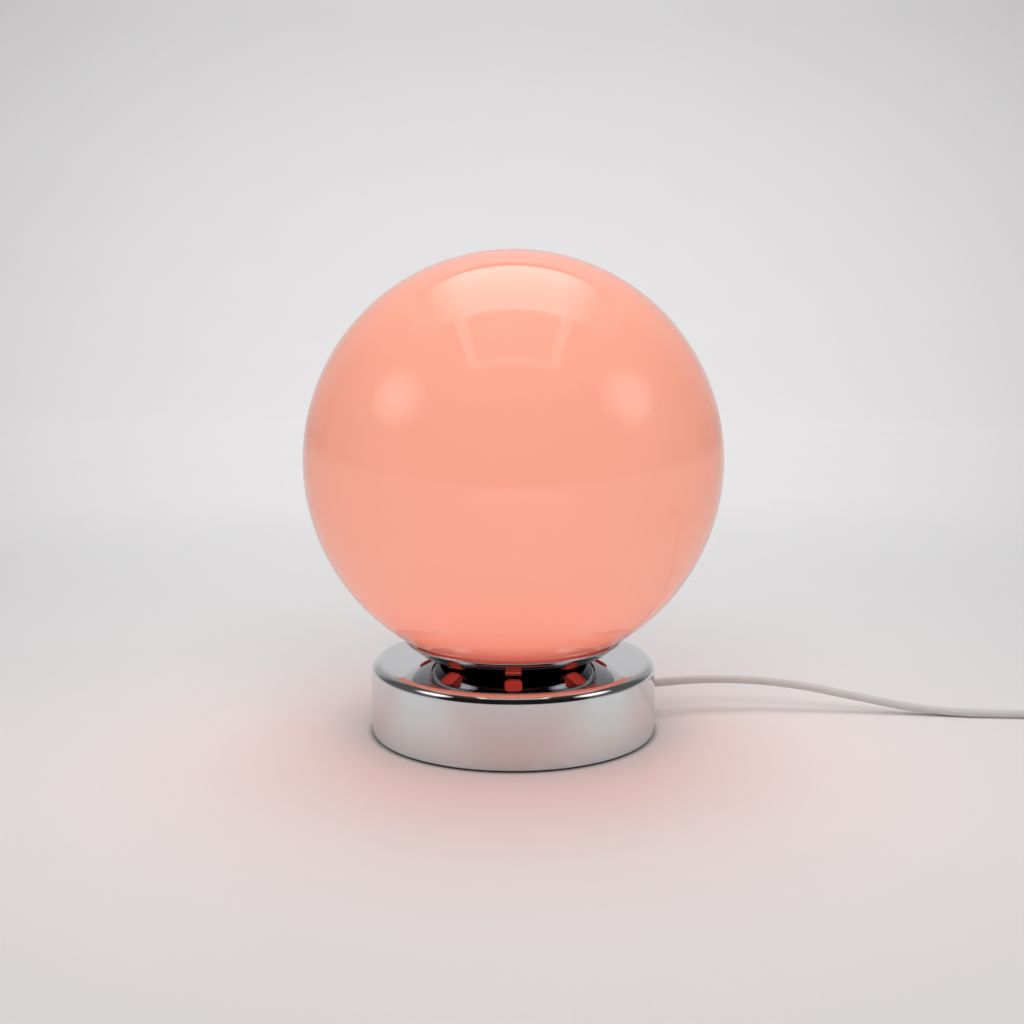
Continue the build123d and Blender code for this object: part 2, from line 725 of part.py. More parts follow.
with BuildPart() as cord_bush:
    with BuildSketch(radial_plane(entry_turn, base_radius, entry_height)):
        Circle(bush_flange_diameter / 2)
    extrude(amount=bush_flange_thickness)
    with BuildSketch(radial_plane(entry_turn, base_radius, entry_height)):
        Circle(bush_neck_diameter / 2)
    extrude(amount=-(base_wall + bush_clip_gap + bush_clip_thickness))
    with BuildSketch(radial_plane(entry_turn, base_radius - base_wall - bush_clip_gap, entry_height)):
        Circle(bush_clip_diameter / 2)
    extrude(amount=-bush_clip_thickness, taper=bush_clip_taper)
    with BuildSketch(radial_plane(entry_turn, base_radius + bush_flange_thickness, entry_height)):
        Circle(bush_flange_diameter / 2 - bush_shoulder)
    with BuildSketch(radial_plane(entry_turn, bush_face, entry_height)):
        Circle(bush_nose_diameter / 2)
    loft()
    with BuildSketch(radial_plane(entry_turn, bush_face, entry_height)):
        SlotOverall(flex_width + 2 * flex_fit, flex_height + 2 * flex_fit)
    extrude(amount=-bush_length, mode=Mode.SUBTRACT)
cord_bush.part.label = "cord_bush"
export_step(cord_bush.part, "parts/cord_bush.step")

clamp_bar_top = entry_height - flex_height / 2
with BuildPart() as cord_clamp:
    with BuildSketch(grip_plane.offset(clamp_bar_top)):
        RectangleRounded(clamp_span, clamp_length, clamp_bar_corner)
        with GridLocations(clamp_screw_spacing, 1, 2, 1):
            Circle(screw_diameter / 2 + hole_fit, mode=Mode.SUBTRACT)
    extrude(amount=-clamp_bar_thickness)
cord_clamp.part.label = "cord_clamp"
export_step(cord_clamp.part, "parts/cord_clamp.step")

with BuildPart() as clamp_screws:
    with BuildSketch(grip_plane.offset(clamp_bar_top - clamp_bar_thickness)):
        with GridLocations(clamp_screw_spacing, 1, 2, 1):
            Circle(screw_head_diameter / 2)
    extrude(amount=-screw_head_height)
    with BuildSketch(grip_plane.offset(clamp_bar_top - clamp_bar_thickness)):
        with GridLocations(clamp_screw_spacing, 1, 2, 1):
            Circle(screw_diameter / 2)
    extrude(amount=clamp_bar_thickness + flex_height + screw_depth - screw_end_gap)
clamp_screws.part.label = "clamp_screws"
export_step(clamp_screws.part, "parts/clamp_screws.step")

# ---------------------------------------------------------------- flex inside the base and the tube
inner_turn_height = cover_top + flex_height
sheath_end = tube_top - sheath_strip
inner_profile = Plane(origin=(0, 0, 0), x_dir=outward(entry_turn), z_dir=-sideways(entry_turn))
with BuildLine(inner_profile) as inner_path:
    FilletPolyline(
        (bush_face, entry_height),
        (clamp_radius - clamp_length / 2 - inner_run, entry_height),
        (inner_sag_reach, inner_turn_height),
        (0, inner_turn_height - hole_fit),
        (0, sheath_end),
        radius=inner_drop_radii,
    )
with BuildPart() as inner_flex:
    sweep(flex_section(radial_plane(entry_turn, bush_face, entry_height)), path=inner_path.wire())
inner_flex.part.label = "inner_flex"
export_step(inner_flex.part, "parts/inner_flex.step")

with BuildPart() as inner_cores:
    for side in (-1, 1):
        with BuildLine() as core_path:
            FilletPolyline(
                (side * core_spread, 0, sheath_end),
                (side * core_spread, 0, tube_top + core_diameter / 2),
                (side * terminal_offset, 0, insert_bottom - core_run),
                (side * terminal_offset, 0, insert_top),
                radius=core_bend_radius,
            )
        with BuildSketch(Plane(core_path.wire() @ 0, z_dir=core_path.wire() % 0)):
            Circle(core_diameter / 2)
        sweep(path=core_path.wire())
inner_cores.part.label = "inner_cores"
export_step(inner_cores.part, "parts/inner_cores.step")


# ---------------------------------------------------------------- flex on the table
def bend_radii(points, share=0.45):
    """Radius of each bend: a share of its shorter run, divided by the tangent of half its turn."""
    radii = []
    for before, at, after in zip(points, points[1:], points[2:]):
        run_in, run_out = Vector(*at) - Vector(*before), Vector(*after) - Vector(*at)
        half_turn = radians(run_in.get_angle(run_out)) / 2
        radii.append(share * min(run_in.length, run_out.length) / tan(half_turn))
    return radii


def guide_above(path):
    """Higher copy of a path, which keeps the flat flex level as it is swept."""
    return path.moved(Location((0, 0, guide_rise)))


flex_area = flex_section(Plane.XY).area
route_points = [around(entry_turn, bush_face, entry_height)] + cord_route
route_radii = bend_radii(route_points)
print("flex bends, mm:", [round(radius) for radius in route_radii])
with BuildLine() as lead_line:
    FilletPolyline(*route_points, radius=route_radii)
lead_path = lead_line.wire()

with BuildPart() as cord_lead:
    sweep(
        flex_section(radial_plane(entry_turn, bush_face, entry_height)),
        path=lead_path,
        binormal=guide_above(lead_path),
    )
cord_lead.part.label = "cord_lead"
export_step(cord_lead.part, "parts/cord_lead.step")
print("lead: length", round(lead_path.length), "volume over section x length",
      round(cord_lead.part.volume / (flex_area * lead_path.length), 4))

# the switch lies where the free stretch ends, and points along +X
switch_start = cord_route[-1][0] - flex_grip
switch_line = cord_route[-1][1]
switch_middle = switch_start + switch_length / 2
switch_floor = Plane((switch_middle, switch_line, 0))
switch_side = Plane((switch_middle, switch_line, 0), x_dir=(1, 0, 0), z_dir=(0, -1, 0))
end_offset = (switch_length - switch_end_width) / 2
screw_spots = [(-switch_screw_spacing / 2, 0), (switch_screw_spacing / 2, 0)]
screw_seat = 2 * screw_head_height
switch_ceiling = switch_height - switch_wall


def switch_outline(height, inset=0.0):
    """Boat-shaped outline of the switch: a wide round middle drawn in to two narrow ends."""
    with BuildSketch(switch_floor.offset(height)) as outline:
        Circle(switch_width / 2 - inset)
        with Locations((-end_offset, 0), (end_offset, 0)):
            Circle(switch_end_width / 2 - inset)
        make_hull()
    return outline.sketch


with BuildPart() as switch_base:
    extrude(switch_outline(0), amount=switch_parting)
    chamfer(switch_base.edges().group_by(Axis.Z)[0], length=switch_wall / 2)
    hollow = switch_outline(switch_parting, switch_wall)
    extrude(hollow, amount=switch_wall - switch_parting, mode=Mode.SUBTRACT)
    with BuildSketch(switch_floor):
        with Locations(*screw_spots):
            Circle(screw_head_diameter / 2 + boss_wall)
    extrude(amount=switch_parting)
    with BuildSketch(switch_floor):
        with Locations(*screw_spots):
            Circle(screw_diameter / 2 + hole_fit)
    extrude(amount=switch_parting, mode=Mode.SUBTRACT)
    with BuildSketch(switch_floor):
        with Locations(*screw_spots):
            Circle(screw_head_diameter / 2 + hole_fit)
    extrude(amount=screw_seat, mode=Mode.SUBTRACT)
    for side in (-1, 1):
        mouth = Plane(
            (switch_middle + side * (switch_length / 2 + flex_fit), switch_line, switch_cord_height),
            x_dir=(0, 1, 0),
            z_dir=(side, 0, 0),
        )
        extrude(flex_section(mouth, fit=flex_fit), amount=-(flex_grip + flex_fit), mode=Mode.SUBTRACT)
switch_base.part.label = "switch_base"
export_step(switch_base.part, "parts/switch_base.step")

rocker_window = (rocker_length + 2 * rocker_gap, rocker_width + 2 * rocker_gap)
pivot_height = switch_height - rocker_pivot_drop
ear_offset = (rocker_window[1] + ear_thickness) / 2

with BuildPart() as switch_cover:
    extrude(switch_outline(switch_parting), amount=switch_height - switch_parting)
    fillet(switch_cover.edges().group_by(Axis.Z)[-1], radius=switch_edge)
    hollow = switch_outline(switch_parting, switch_wall)
    extrude(hollow, amount=switch_ceiling - switch_parting, mode=Mode.SUBTRACT)
    with BuildSketch(switch_floor.offset(switch_height)):
        Rectangle(*rocker_window)
    extrude(amount=-2 * switch_wall, mode=Mode.SUBTRACT)
    for side in (-1, 1):
        with BuildSketch(switch_side.offset(side * ear_offset)):
            with Locations((0, (switch_ceiling + pivot_height) / 2 - pivot_diameter / 2)):
                Rectangle(3 * pivot_diameter, switch_ceiling - pivot_height + pivot_diameter)
        extrude(amount=ear_thickness / 2, both=True)
    with BuildSketch(switch_side):
        with Locations((0, pivot_height)):
            Circle(pivot_diameter / 2 + pivot_fit)
    extrude(amount=ear_offset + ear_thickness / 2, both=True, mode=Mode.SUBTRACT)
    with BuildSketch(switch_floor.offset(switch_parting)):
        with Locations(*screw_spots):
            Circle(screw_diameter / 2 + boss_wall)
    extrude(amount=switch_ceiling - switch_parting)
    with BuildSketch(switch_floor.offset(switch_parting)):
        with Locations(*screw_spots):
            Circle(screw_diameter / 2 + thread_fit)
    extrude(amount=screw_depth / 2, mode=Mode.SUBTRACT)
switch_cover.part.label = "switch_cover"
export_step(switch_cover.part, "parts/switch_cover.step")

with BuildPart() as switch_screws:
    with BuildSketch(switch_floor.offset(screw_seat)):
        with Locations(*screw_spots):
            Circle(screw_head_diameter / 2)
    extrude(amount=-screw_head_height)
    with BuildSketch(switch_floor.offset(screw_seat)):
        with Locations(*screw_spots):
            Circle(screw_diameter / 2)
    extrude(amount=switch_parting - screw_seat + screw_depth / 2 - screw_end_gap)
switch_screws.part.label = "switch_screws"
export_step(switch_screws.part, "parts/switch_screws.step")

rocker_reach = rocker_length / 2
rocker_rise = rocker_pivot_drop + rocker_gap
rocker_tip = rocker_rise + rocker_length * tan(radians(rocker_throw / 2))
rocker_pivot = Plane((switch_middle, switch_line, pivot_height), x_dir=(1, 0, 0), z_dir=(0, -1, 0))
rocker_rest = Plane(
    rocker_pivot.origin,
    x_dir=(cos(radians(rocker_throw / 2)), 0, sin(radians(rocker_throw / 2))),
    z_dir=(0, -1, 0),
)

with BuildPart() as switch_rocker:
    with BuildSketch(rocker_rest):
        with BuildLine():
            Polyline(
                (-rocker_length, rocker_tip),
                (0, rocker_rise),
                (rocker_length, rocker_tip),
                (rocker_length, -pivot_diameter / 2),
                (rocker_reach / 2, -rocker_depth),
                (-rocker_reach / 2, -rocker_depth),
                (-rocker_length, -pivot_diameter / 2),
                close=True,
            )
        make_face()
        Circle(rocker_reach, mode=Mode.INTERSECT)
        Circle(pivot_diameter / 2 + pivot_fit, mode=Mode.SUBTRACT)
    extrude(amount=rocker_width / 2, both=True)
switch_rocker.part.label = "switch_rocker"
export_step(switch_rocker.part, "parts/switch_rocker.step")

with BuildPart() as rocker_pin:
    with BuildSketch(rocker_pivot):
        Circle(pivot_diameter / 2)
    extrude(amount=ear_offset + ear_thickness / 2, both=True)
rocker_pin.part.label = "rocker_pin"
export_step(rocker_pin.part, "parts/rocker_pin.step")


def twist_flex(start, end, start_turn, end_turn, steps=6):
    """Loft a straight length of the flex between two points, turning it about its own middle."""
    heading = Vector(end[0] - start[0], end[1] - start[1], 0).normalized()
    level = heading.cross(Vector(0, 0, 1))
    sections = []
    for i in range(steps + 1):
        share = i / steps
        ease = share * share * (3 - 2 * share)
        middle = Vector(*start) + (Vector(*end) - Vector(*start)) * share
        middle.Z = start[2] + (end[2] - start[2]) * ease
        with BuildSketch(Plane(middle, x_dir=level, z_dir=heading)) as section:
            SlotOverall(flex_width, flex_height, rotation=start_turn + (end_turn - start_turn) * ease)
        sections.append(section.sketch)
    loft(sections)


# the coil lies past the switch: in by one layer, and out again by the layer above
coil_low = coil_bottom + flex_width / 2
coil_outer_radius = coil_inner_radius + coil_pitch * coil_half_turns / 4
tail_start = (switch_start + switch_length - flex_grip, switch_line, switch_cord_height)
tail_end = (tail_start[0] + flex_grip + twist_length, switch_line, coil_low)
coil_center = (tail_end[0] + flex_width, switch_line - coil_outer_radius)

with BuildPart() as cord_tail:
    twist_flex(tail_start, tail_end, 0, 90)
cord_tail.part.label = "cord_tail"
export_step(cord_tail.part, "parts/cord_tail.step")


def coil_place(half_turn):
    """Middle of the flex, and its heading, after some half turns of the coil."""
    spread = half_turn - coil_half_turns / 2
    radius = coil_inner_radius + coil_pitch * abs(spread) / 2
    climb = pi * min(max(spread + 0.5, 0), 1)
    height = coil_low + coil_layer * (1 - cos(climb)) / 2
    turned = pi * half_turn
    place = Vector(coil_center[0] + radius * sin(turned), coil_center[1] + radius * cos(turned), height)
    steady = half_turn not in (0, coil_half_turns / 2, coil_half_turns)
    drift = copysign(coil_pitch / (2 * pi), spread) if steady else 0
    heading = Vector(
        radius * cos(turned) + drift * sin(turned),
        drift * cos(turned) - radius * sin(turned),
        coil_layer * sin(climb) / 2,
    )
    return place, heading.normalized()


def two_arcs(start, start_heading, end, end_heading):
    """Two arcs that join two places of the coil smoothly."""
    across, both = end - start, start_heading + end_heading
    a, b, c = 4 - both.dot(both), 2 * across.dot(both), -across.dot(across)
    reach = (sqrt(b * b - 4 * a * c) - b) / (2 * a)
    first, second = start + start_heading * reach, end - end_heading * reach
    middle = (first + second) * 0.5
    TangentArc(start, middle, tangent=start_heading)
    TangentArc(middle, end, tangent=second - first)


# a place each half turn, and one where the spiral reverses halfway up to the second layer
coil_stations = sorted([*range(coil_half_turns + 1), coil_half_turns / 2])
with BuildLine() as coil_line:
    places = [coil_place(half_turn) for half_turn in coil_stations]
    Line(Vector(*tail_end), places[0][0])
    for (start, start_heading), (end, end_heading) in zip(places, places[1:]):
        two_arcs(start, start_heading, end, end_heading)
    Line(places[-1][0], places[-1][0] - Vector(flex_width, 0, 0))
coil_path = coil_line.wire()
coil_end = coil_path @ 1

with BuildPart() as cord_coil:
    coil_mouth = Plane(tail_end, x_dir=(0, -1, 0), z_dir=(1, 0, 0))
    sweep(flex_section(coil_mouth, upright=True), path=coil_path, binormal=guide_above(coil_path))
cord_coil.part.label = "cord_coil"
export_step(cord_coil.part, "parts/cord_coil.step")


def least_gap(path, samples=900):
    """Least gap between turns of an upright flex, from points along its middle."""
    spots = [path @ (i / samples) for i in range(samples + 1)]
    skip = round(samples * pi * coil_inner_radius / path.length)
    gaps = []
    for i, spot in enumerate(spots):
        for other in spots[i + skip:]:
            level = hypot(spot.X - other.X, spot.Y - other.Y)
            rise = max(abs(spot.Z - other.Z) - (flex_width - flex_height), 0)
            gaps.append(hypot(level, rise) - flex_height)
    return min(gaps)


print("coil: length", round(coil_path.length), "volume over section x length",
      round(cord_coil.part.volume / (flex_area * coil_path.length), 4),
      "least gap", round(least_gap(coil_path), 2))

# tie round the turns, on the side away from the lamp
turns_inner = coil_inner_radius + coil_pitch / 2 - flex_height / 2 - tie_clearance
turns_outer = coil_outer_radius - coil_pitch / 4 + flex_height / 2 + tie_clearance
turns_bottom = coil_bottom - tie_float
turns_top = coil_bottom + coil_layer + flex_width + tie_float
loop_width = turns_outer - turns_inner
loop_height = turns_top - turns_bottom
tie_plane = Plane(
    (coil_center[0] + (turns_inner + turns_outer) / 2, coil_center[1], (turns_bottom + turns_top) / 2),
    x_dir=(1, 0, 0),
    z_dir=(0, -1, 0),
)
with BuildPart() as coil_tie:
    with BuildSketch(tie_plane):
        RectangleRounded(loop_width + 2 * tie_thickness, loop_height + 2 * tie_thickness, 3 * tie_thickness)
        RectangleRounded(loop_width, loop_height, 2 * tie_thickness, mode=Mode.SUBTRACT)
    extrude(amount=tie_width / 2, both=True)
    with BuildSketch(tie_plane):
        with Locations((tie_tab_length - loop_width, (loop_height + 3 * tie_thickness) / 2)):
            Rectangle(tie_tab_length, tie_thickness)
    extrude(amount=tie_width / 2, both=True)
coil_tie.part.label = "coil_tie"
export_step(coil_tie.part, "parts/coil_tie.step")

# ---------------------------------------------------------------- plug beside the coil
plug_lay = plug_height / 2 + lay_gap
plug_entry = (coil_end.X - twist_length, coil_end.Y, plug_lay)

with BuildPart() as cord_plug_lead:
    twist_flex(tuple(coil_end), plug_entry, 90, 0)
cord_plug_lead.part.label = "cord_plug_lead"
export_step(cord_plug_lead.part, "parts/cord_plug_lead.step")


def plug_plane(distance):
    """Plane across the plug, at a distance from the tip of its strain relief towards the pins."""
    return Plane((plug_entry[0] - distance, plug_entry[1], plug_lay), x_dir=(0, -1, 0), z_dir=(-1, 0, 0))


groove_pitch = relief_length / (relief_rib_count + 1)
groove_share = 0.35           # of the pitch that is groove
with BuildPart() as plug_relief:
    with BuildSketch(plug_plane(0)):
        RectangleRounded(relief_tip_width, relief_tip_height, relief_corner)
    with BuildSketch(plug_plane(relief_length)):
        RectangleRounded(relief_rear_width, relief_rear_height, relief_corner)
    loft()
    for i in range(relief_rib_count):
        groove = plug_plane((i + 0.6) * groove_pitch)
        with BuildSketch(groove):
            Rectangle(plug_rear_width, plug_rear_height)
        extrude(amount=groove_share * groove_pitch, mode=Mode.SUBTRACT)
        with BuildSketch(groove):
            SlotOverall(flex_width + 2 * relief_skin, flex_height + 2 * relief_skin)
        extrude(amount=groove_share * groove_pitch)
plug_relief.part.label = "plug_relief"
export_step(plug_relief.part, "parts/plug_relief.step")

plug_face = relief_length + plug_body_length
with BuildPart() as plug_body:
    with BuildSketch(plug_plane(relief_length)):
        RectangleRounded(plug_rear_width, plug_rear_height, 0.8 * plug_corner)
    with BuildSketch(plug_plane(relief_length + plug_flare_length / 2)):
        RectangleRounded(plug_width - plug_flare_step, plug_height, plug_corner)
    with BuildSketch(plug_plane(relief_length + plug_flare_length)):
        RectangleRounded(plug_width, plug_height, plug_corner)
    loft(ruled=True)
    with BuildSketch(plug_plane(relief_length + plug_flare_length)):
        RectangleRounded(plug_width, plug_height, plug_corner)
    extrude(amount=plug_body_length - plug_flare_length)
plug_body.part.label = "plug_body"
export_step(plug_body.part, "parts/plug_body.step")

neck_radius = sleeve_bore / 2
with BuildPart() as pin_sleeves:
    with BuildSketch(plug_plane(plug_face)):
        with GridLocations(pin_spacing, 1, 2, 1):
            Circle(sleeve_diameter / 2)
            Circle(neck_radius + thread_fit, mode=Mode.SUBTRACT)
    extrude(amount=sleeve_length)
pin_sleeves.part.label = "pin_sleeves"
export_step(pin_sleeves.part, "parts/pin_sleeves.step")

with BuildPart() as plug_pins:
    with BuildSketch(plug_plane(plug_face)):
        with GridLocations(pin_spacing, 1, 2, 1):
            Circle(neck_radius)
    extrude(amount=sleeve_length)
    with BuildSketch(plug_plane(plug_face + sleeve_length)):
        with GridLocations(pin_spacing, 1, 2, 1):
            Circle(pin_diameter / 2)
    extrude(amount=pin_length - sleeve_length)
    fillet(plug_pins.edges().group_by(Axis.X)[0], radius=pin_tip_radius)
plug_pins.part.label = "plug_pins"
export_step(plug_pins.part, "parts/plug_pins.step")

total_length = lead_path.length + switch_length - flex_grip + coil_path.length + 2 * twist_length
print("flex from the base to the plug, mm:", round(total_length))
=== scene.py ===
"""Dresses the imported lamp: a coral glass globe in a vented chrome cup on a chrome drum base.

Laid out as an add-on and run as a script. Metres, +Z up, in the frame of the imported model.
"""
import json
from math import asin, atan2, cos, degrees, hypot, pi, radians, sin, sqrt

import bmesh
import bpy
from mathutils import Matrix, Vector


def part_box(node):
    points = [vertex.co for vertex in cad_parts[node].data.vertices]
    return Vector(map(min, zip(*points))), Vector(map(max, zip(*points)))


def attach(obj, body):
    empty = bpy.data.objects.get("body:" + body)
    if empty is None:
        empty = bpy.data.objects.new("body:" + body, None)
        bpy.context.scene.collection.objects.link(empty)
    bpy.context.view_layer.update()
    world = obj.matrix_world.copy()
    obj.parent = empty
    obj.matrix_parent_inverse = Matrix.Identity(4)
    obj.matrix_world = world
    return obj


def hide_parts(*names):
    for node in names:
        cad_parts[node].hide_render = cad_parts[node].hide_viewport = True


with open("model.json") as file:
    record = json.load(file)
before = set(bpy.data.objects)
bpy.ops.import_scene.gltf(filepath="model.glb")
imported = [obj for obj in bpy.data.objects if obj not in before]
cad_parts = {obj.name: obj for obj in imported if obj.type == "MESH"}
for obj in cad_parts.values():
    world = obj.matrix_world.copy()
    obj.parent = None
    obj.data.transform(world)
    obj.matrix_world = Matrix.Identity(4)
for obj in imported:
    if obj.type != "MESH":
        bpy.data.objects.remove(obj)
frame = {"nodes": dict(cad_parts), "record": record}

bl_info = {
    "name": "Glass Globe Table Lamp",
    "version": (1, 0, 0),
    "blender": (4, 5, 0),
    "location": "View3D > Sidebar > Lamp",
    "description": "Builds the finishes, the flex and the studio of a glass globe table lamp",
    "category": "Object",
}

MM = 0.001
WELD = 1e-6
ON_AXIS = 1e-7


# ---------------------------------------------------------------- sizes and colours a user would change
def millimetres(name, description, default):
    """Length property with its default in millimetres."""
    return bpy.props.FloatProperty(
        name=name,
        description=description,
        default=default * MM,
        min=0,
        subtype="DISTANCE",
        unit="LENGTH",
    )


def tint(name, description, default):
    """Colour property."""
    return bpy.props.FloatVectorProperty(
        name=name, description=description, default=default, size=3, min=0, max=1, subtype="COLOR"
    )


def level(name, description, default):
    """Brightness property."""
    return bpy.props.FloatProperty(name=name, description=description, default=default, min=0)


class GlobeSizes(bpy.types.PropertyGroup):
    """Sizes of the glass globe and the cup that it rests in."""

    diameter: millimetres("Globe diameter", "Outside diameter of the glass", 200)
    wall: millimetres("Glass thickness", "Thickness of the glass", 3)
    mouth: millimetres("Mouth diameter", "Opening at the foot of the globe", 66)
    lip: millimetres("Lip radius", "Rounding of the ground lip round the mouth", 0.8)
    cup_foot: millimetres("Cup foot diameter", "Diameter of the cup where it meets the base", 72)
    cup_rim: millimetres("Cup rim diameter", "Diameter of the cup's outer rim", 106.6)
    cup_rise: millimetres("Cup rise", "Height of the rim above the base", 10.2)
    cup_bow: millimetres("Cup bow", "How far the cup's wall bulges from a straight cone", 1)
    cup_wall: millimetres("Cup wall", "Thickness of the cup's sheet", 1.2)
    vent_count: bpy.props.IntProperty(
        name="Vents", description="Number of windows round the cup", default=8, min=3, max=24
    )
    vent_width: millimetres("Vent width", "Width of each window", 8)
    vent_length: millimetres("Vent length", "Length of each window up the wall", 8.4)
    vent_corner: millimetres("Vent corner", "Corner radius of each window", 2.2)
    vent_radius: millimetres("Vent radius", "Distance of each window's centre from the axis", 42)


class BaseSizes(bpy.types.PropertyGroup):
    """Sizes of the chrome drum base."""

    diameter: millimetres("Base diameter", "Outside diameter of the drum", 138)
    height: millimetres("Base height", "Table to the mirror top", 35.4)
    wall: millimetres("Base wall", "Thickness of the drum's sheet", 1.2)
    edge: millimetres("Base edge radius", "Rounding between the top and the side", 4.5)
    skirt_gap: millimetres("Skirt gap", "Table to the lower edge of the drum", 0.9)
    tube_hole: millimetres("Tube hole", "Diameter of the hole for the threaded tube", 10.2)
    bush_hole: millimetres("Bush hole", "Diameter of the hole for the cord bush", 8.8)
    bush_height: millimetres("Bush height", "Table to the middle of the bush", 15)
    bush_turn: bpy.props.FloatProperty(
        name="Bush turn",
        description="Where the flex leaves, turned from the front",
        default=radians(110),
        subtype="ANGLE",
        unit="ROTATION",
    )


class FlexSizes(bpy.types.PropertyGroup):
    """Sizes of the flat twin flex."""

    width: millimetres("Flex width", "Width of the flat flex", 5.6)
    thickness: millimetres("Flex thickness", "Thickness of the flat flex", 3.6)


class Colours(bpy.types.PropertyGroup):
    """Colours of the lamp's finishes, in linear light."""

    glass: tint("Glass", "Coral of the opal glass", (0.93, 0.35, 0.25))
    glow: tint("Glow", "Light that the lit glass gives off", (1.0, 0.45, 0.32))
    glow_strength: bpy.props.FloatProperty(
        name="Glow strength", description="Brightness of the lit glass", default=0.34, min=0, max=4
    )
    chrome: tint("Chrome", "Reflection of the plating", (0.655, 0.655, 0.67))
    flex: tint("Flex", "Sheath of the flex", (0.62, 0.6, 0.59))
    moulding: tint("Mouldings", "Switch and plug", (0.72, 0.71, 0.69))


class StudioSettings(bpy.types.PropertyGroup):
    """Light and floor of the studio."""

    floor: tint("Floor", "Paper near the lamp", (0.8, 0.79, 0.79))
    backdrop: tint("Backdrop", "Tone of the paper far behind the lamp", (0.8, 0.785, 0.79))
    overhead: level("Overhead softbox", "Brightness of the box over the lamp, where 1 is white", 1.95)
    sides: level("Side softboxes", "Brightness of each side softbox, where 1 is white", 2.2)
    front: level("Front fill", "Brightness of the fill behind the camera, where 1 is white", 1.8)
    bounce: level("Floor bounce", "How bright the drum's side shows the paper beside it", 0.2)
    glow: level("Globe glow", "Power of the light that the globe throws round it, in watts", 0.3)
    fill: level("Fill", "Brightness of the room, where 1 is white", 0.6)


# ---------------------------------------------------------------- helpers for nodes and meshes
def put(tree, kind, inputs=None, **settings):
    """Add a node, set its properties, and link or set its inputs by name or number."""
    node = tree.nodes.new(kind)
    for name, value in settings.items():
        setattr(node, name, value)
    for name, value in (inputs or {}).items():
        if isinstance(value, bpy.types.NodeSocket):
            tree.links.new(value, node.inputs[name])
        else:
            node.inputs[name].default_value = value
    return node


def maths(tree, operation, first, second=0.0):
    """Output of a Math node."""
    return put(tree, "ShaderNodeMath", {0: first, 1: second}, operation=operation).outputs[0]


def between(tree, value, start, end, at_start=0.0, at_end=1.0, **settings):
    """Output that goes from one value to another while its input goes from start to end."""
    span = {"Value": value, "From Min": start, "From Max": end, "To Min": at_start, "To Max": at_end}
    return put(tree, "ShaderNodeMapRange", span, **settings).outputs["Result"]


def noise(tree, place, scale, detail):
    """Output of a noise texture."""
    values = {"Vector": place, "Scale": scale, "Detail": detail}
    return put(tree, "ShaderNodeTexNoise", values).outputs["Fac"]


def scaled(tree, colour, amount):
    """Colour or vector multiplied by an amount."""
    return put(tree, "ShaderNodeVectorMath", {0: colour, "Scale": amount}, operation="SCALE").outputs[0]


def own_height(tree):
    """Height above the table of the place that is shaded."""
    place = put(tree, "ShaderNodeTexCoord").outputs["Object"]
    return put(tree, "ShaderNodeSeparateXYZ", {0: place}).outputs["Z"]


def new_group(name, kind, inputs, outputs):
    """Node group with named sockets, given as (name, socket type, default)."""
    tree = bpy.data.node_groups.new(name, kind)
    for label, socket, default in inputs:
        item = tree.interface.new_socket(label, in_out="INPUT", socket_type=socket)
        if default is not None:
            item.default_value = default
    for label, socket in outputs:
        tree.interface.new_socket(label, in_out="OUTPUT", socket_type=socket)
    return tree, tree.nodes.new("NodeGroupInput"), tree.nodes.new("NodeGroupOutput")


def new_material(name, **values):
    """Material with a Principled BSDF whose constants are set by socket name."""
    material = bpy.data.materials.new(name)
    material.use_nodes = True
    shader = material.node_tree.nodes["Principled BSDF"]
    for label, value in values.items():
        shader.inputs[label.replace("_", " ")].default_value = value
    return material, material.node_tree, shader


def as_piece(name, mesh, material, body, replaces, crease=35):
    """Object for a finished mesh, shaded smooth but for its creases, that rides on a body."""
    if material is not None:
        mesh.materials.append(material)
    mesh.shade_smooth()
    mesh.set_sharp_from_angle(angle=radians(crease))
    piece = bpy.data.objects.new(name, mesh)
    bpy.context.scene.collection.objects.link(piece)
    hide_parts(*replaces)
    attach(piece, body)
    return piece


def around(radius, share):
    """Place on a circle about the lamp's axis, a share of a turn on from the front."""
    return radius * sin(2 * pi * share), -radius * cos(2 * pi * share)


def turned_mesh(name, profile, steps, ends_meet=True):
    """Mesh of a profile, given as (radius, height), turned about the lamp's axis."""
    build = bmesh.new()
    rings = []
    for radius, height in profile:
        count = 1 if radius < ON_AXIS else steps
        rings.append([build.verts.new((*around(radius, i / steps), height)) for i in range(count)])
    if ends_meet:
        rings.append(rings[0])
    for ring, following in zip(rings, rings[1:]):
        for i in range(steps):
            j = (i + 1) % steps
            corners = [ring[i % len(ring)], ring[j % len(ring)]]
            corners += [following[j % len(following)], following[i % len(following)]]
            corners = list(dict.fromkeys(corners))
            if len(corners) > 2:
                build.faces.new(corners)
    if ends_meet:
        bmesh.ops.recalc_face_normals(build, faces=build.faces)
    mesh = bpy.data.meshes.new(name)
    build.to_mesh(mesh)
    build.free()
    return mesh


def closed(mesh):
    """Join the loose seams of a mesh and turn its faces outwards."""
    build = bmesh.new()
    build.from_mesh(mesh)
    bmesh.ops.remove_doubles(build, verts=build.verts, dist=WELD)
    bmesh.ops.recalc_face_normals(build, faces=build.faces)
    build.to_mesh(mesh)
    build.free()


def arc_points(center, radius, start, end, count):
    """Points of an arc in a profile, with angles in degrees from +radius towards +height."""
    turns = [radians(start + (end - start) * i / count) for i in range(count + 1)]
    return [(center[0] + radius * cos(turn), center[1] + radius * sin(turn)) for turn in turns]


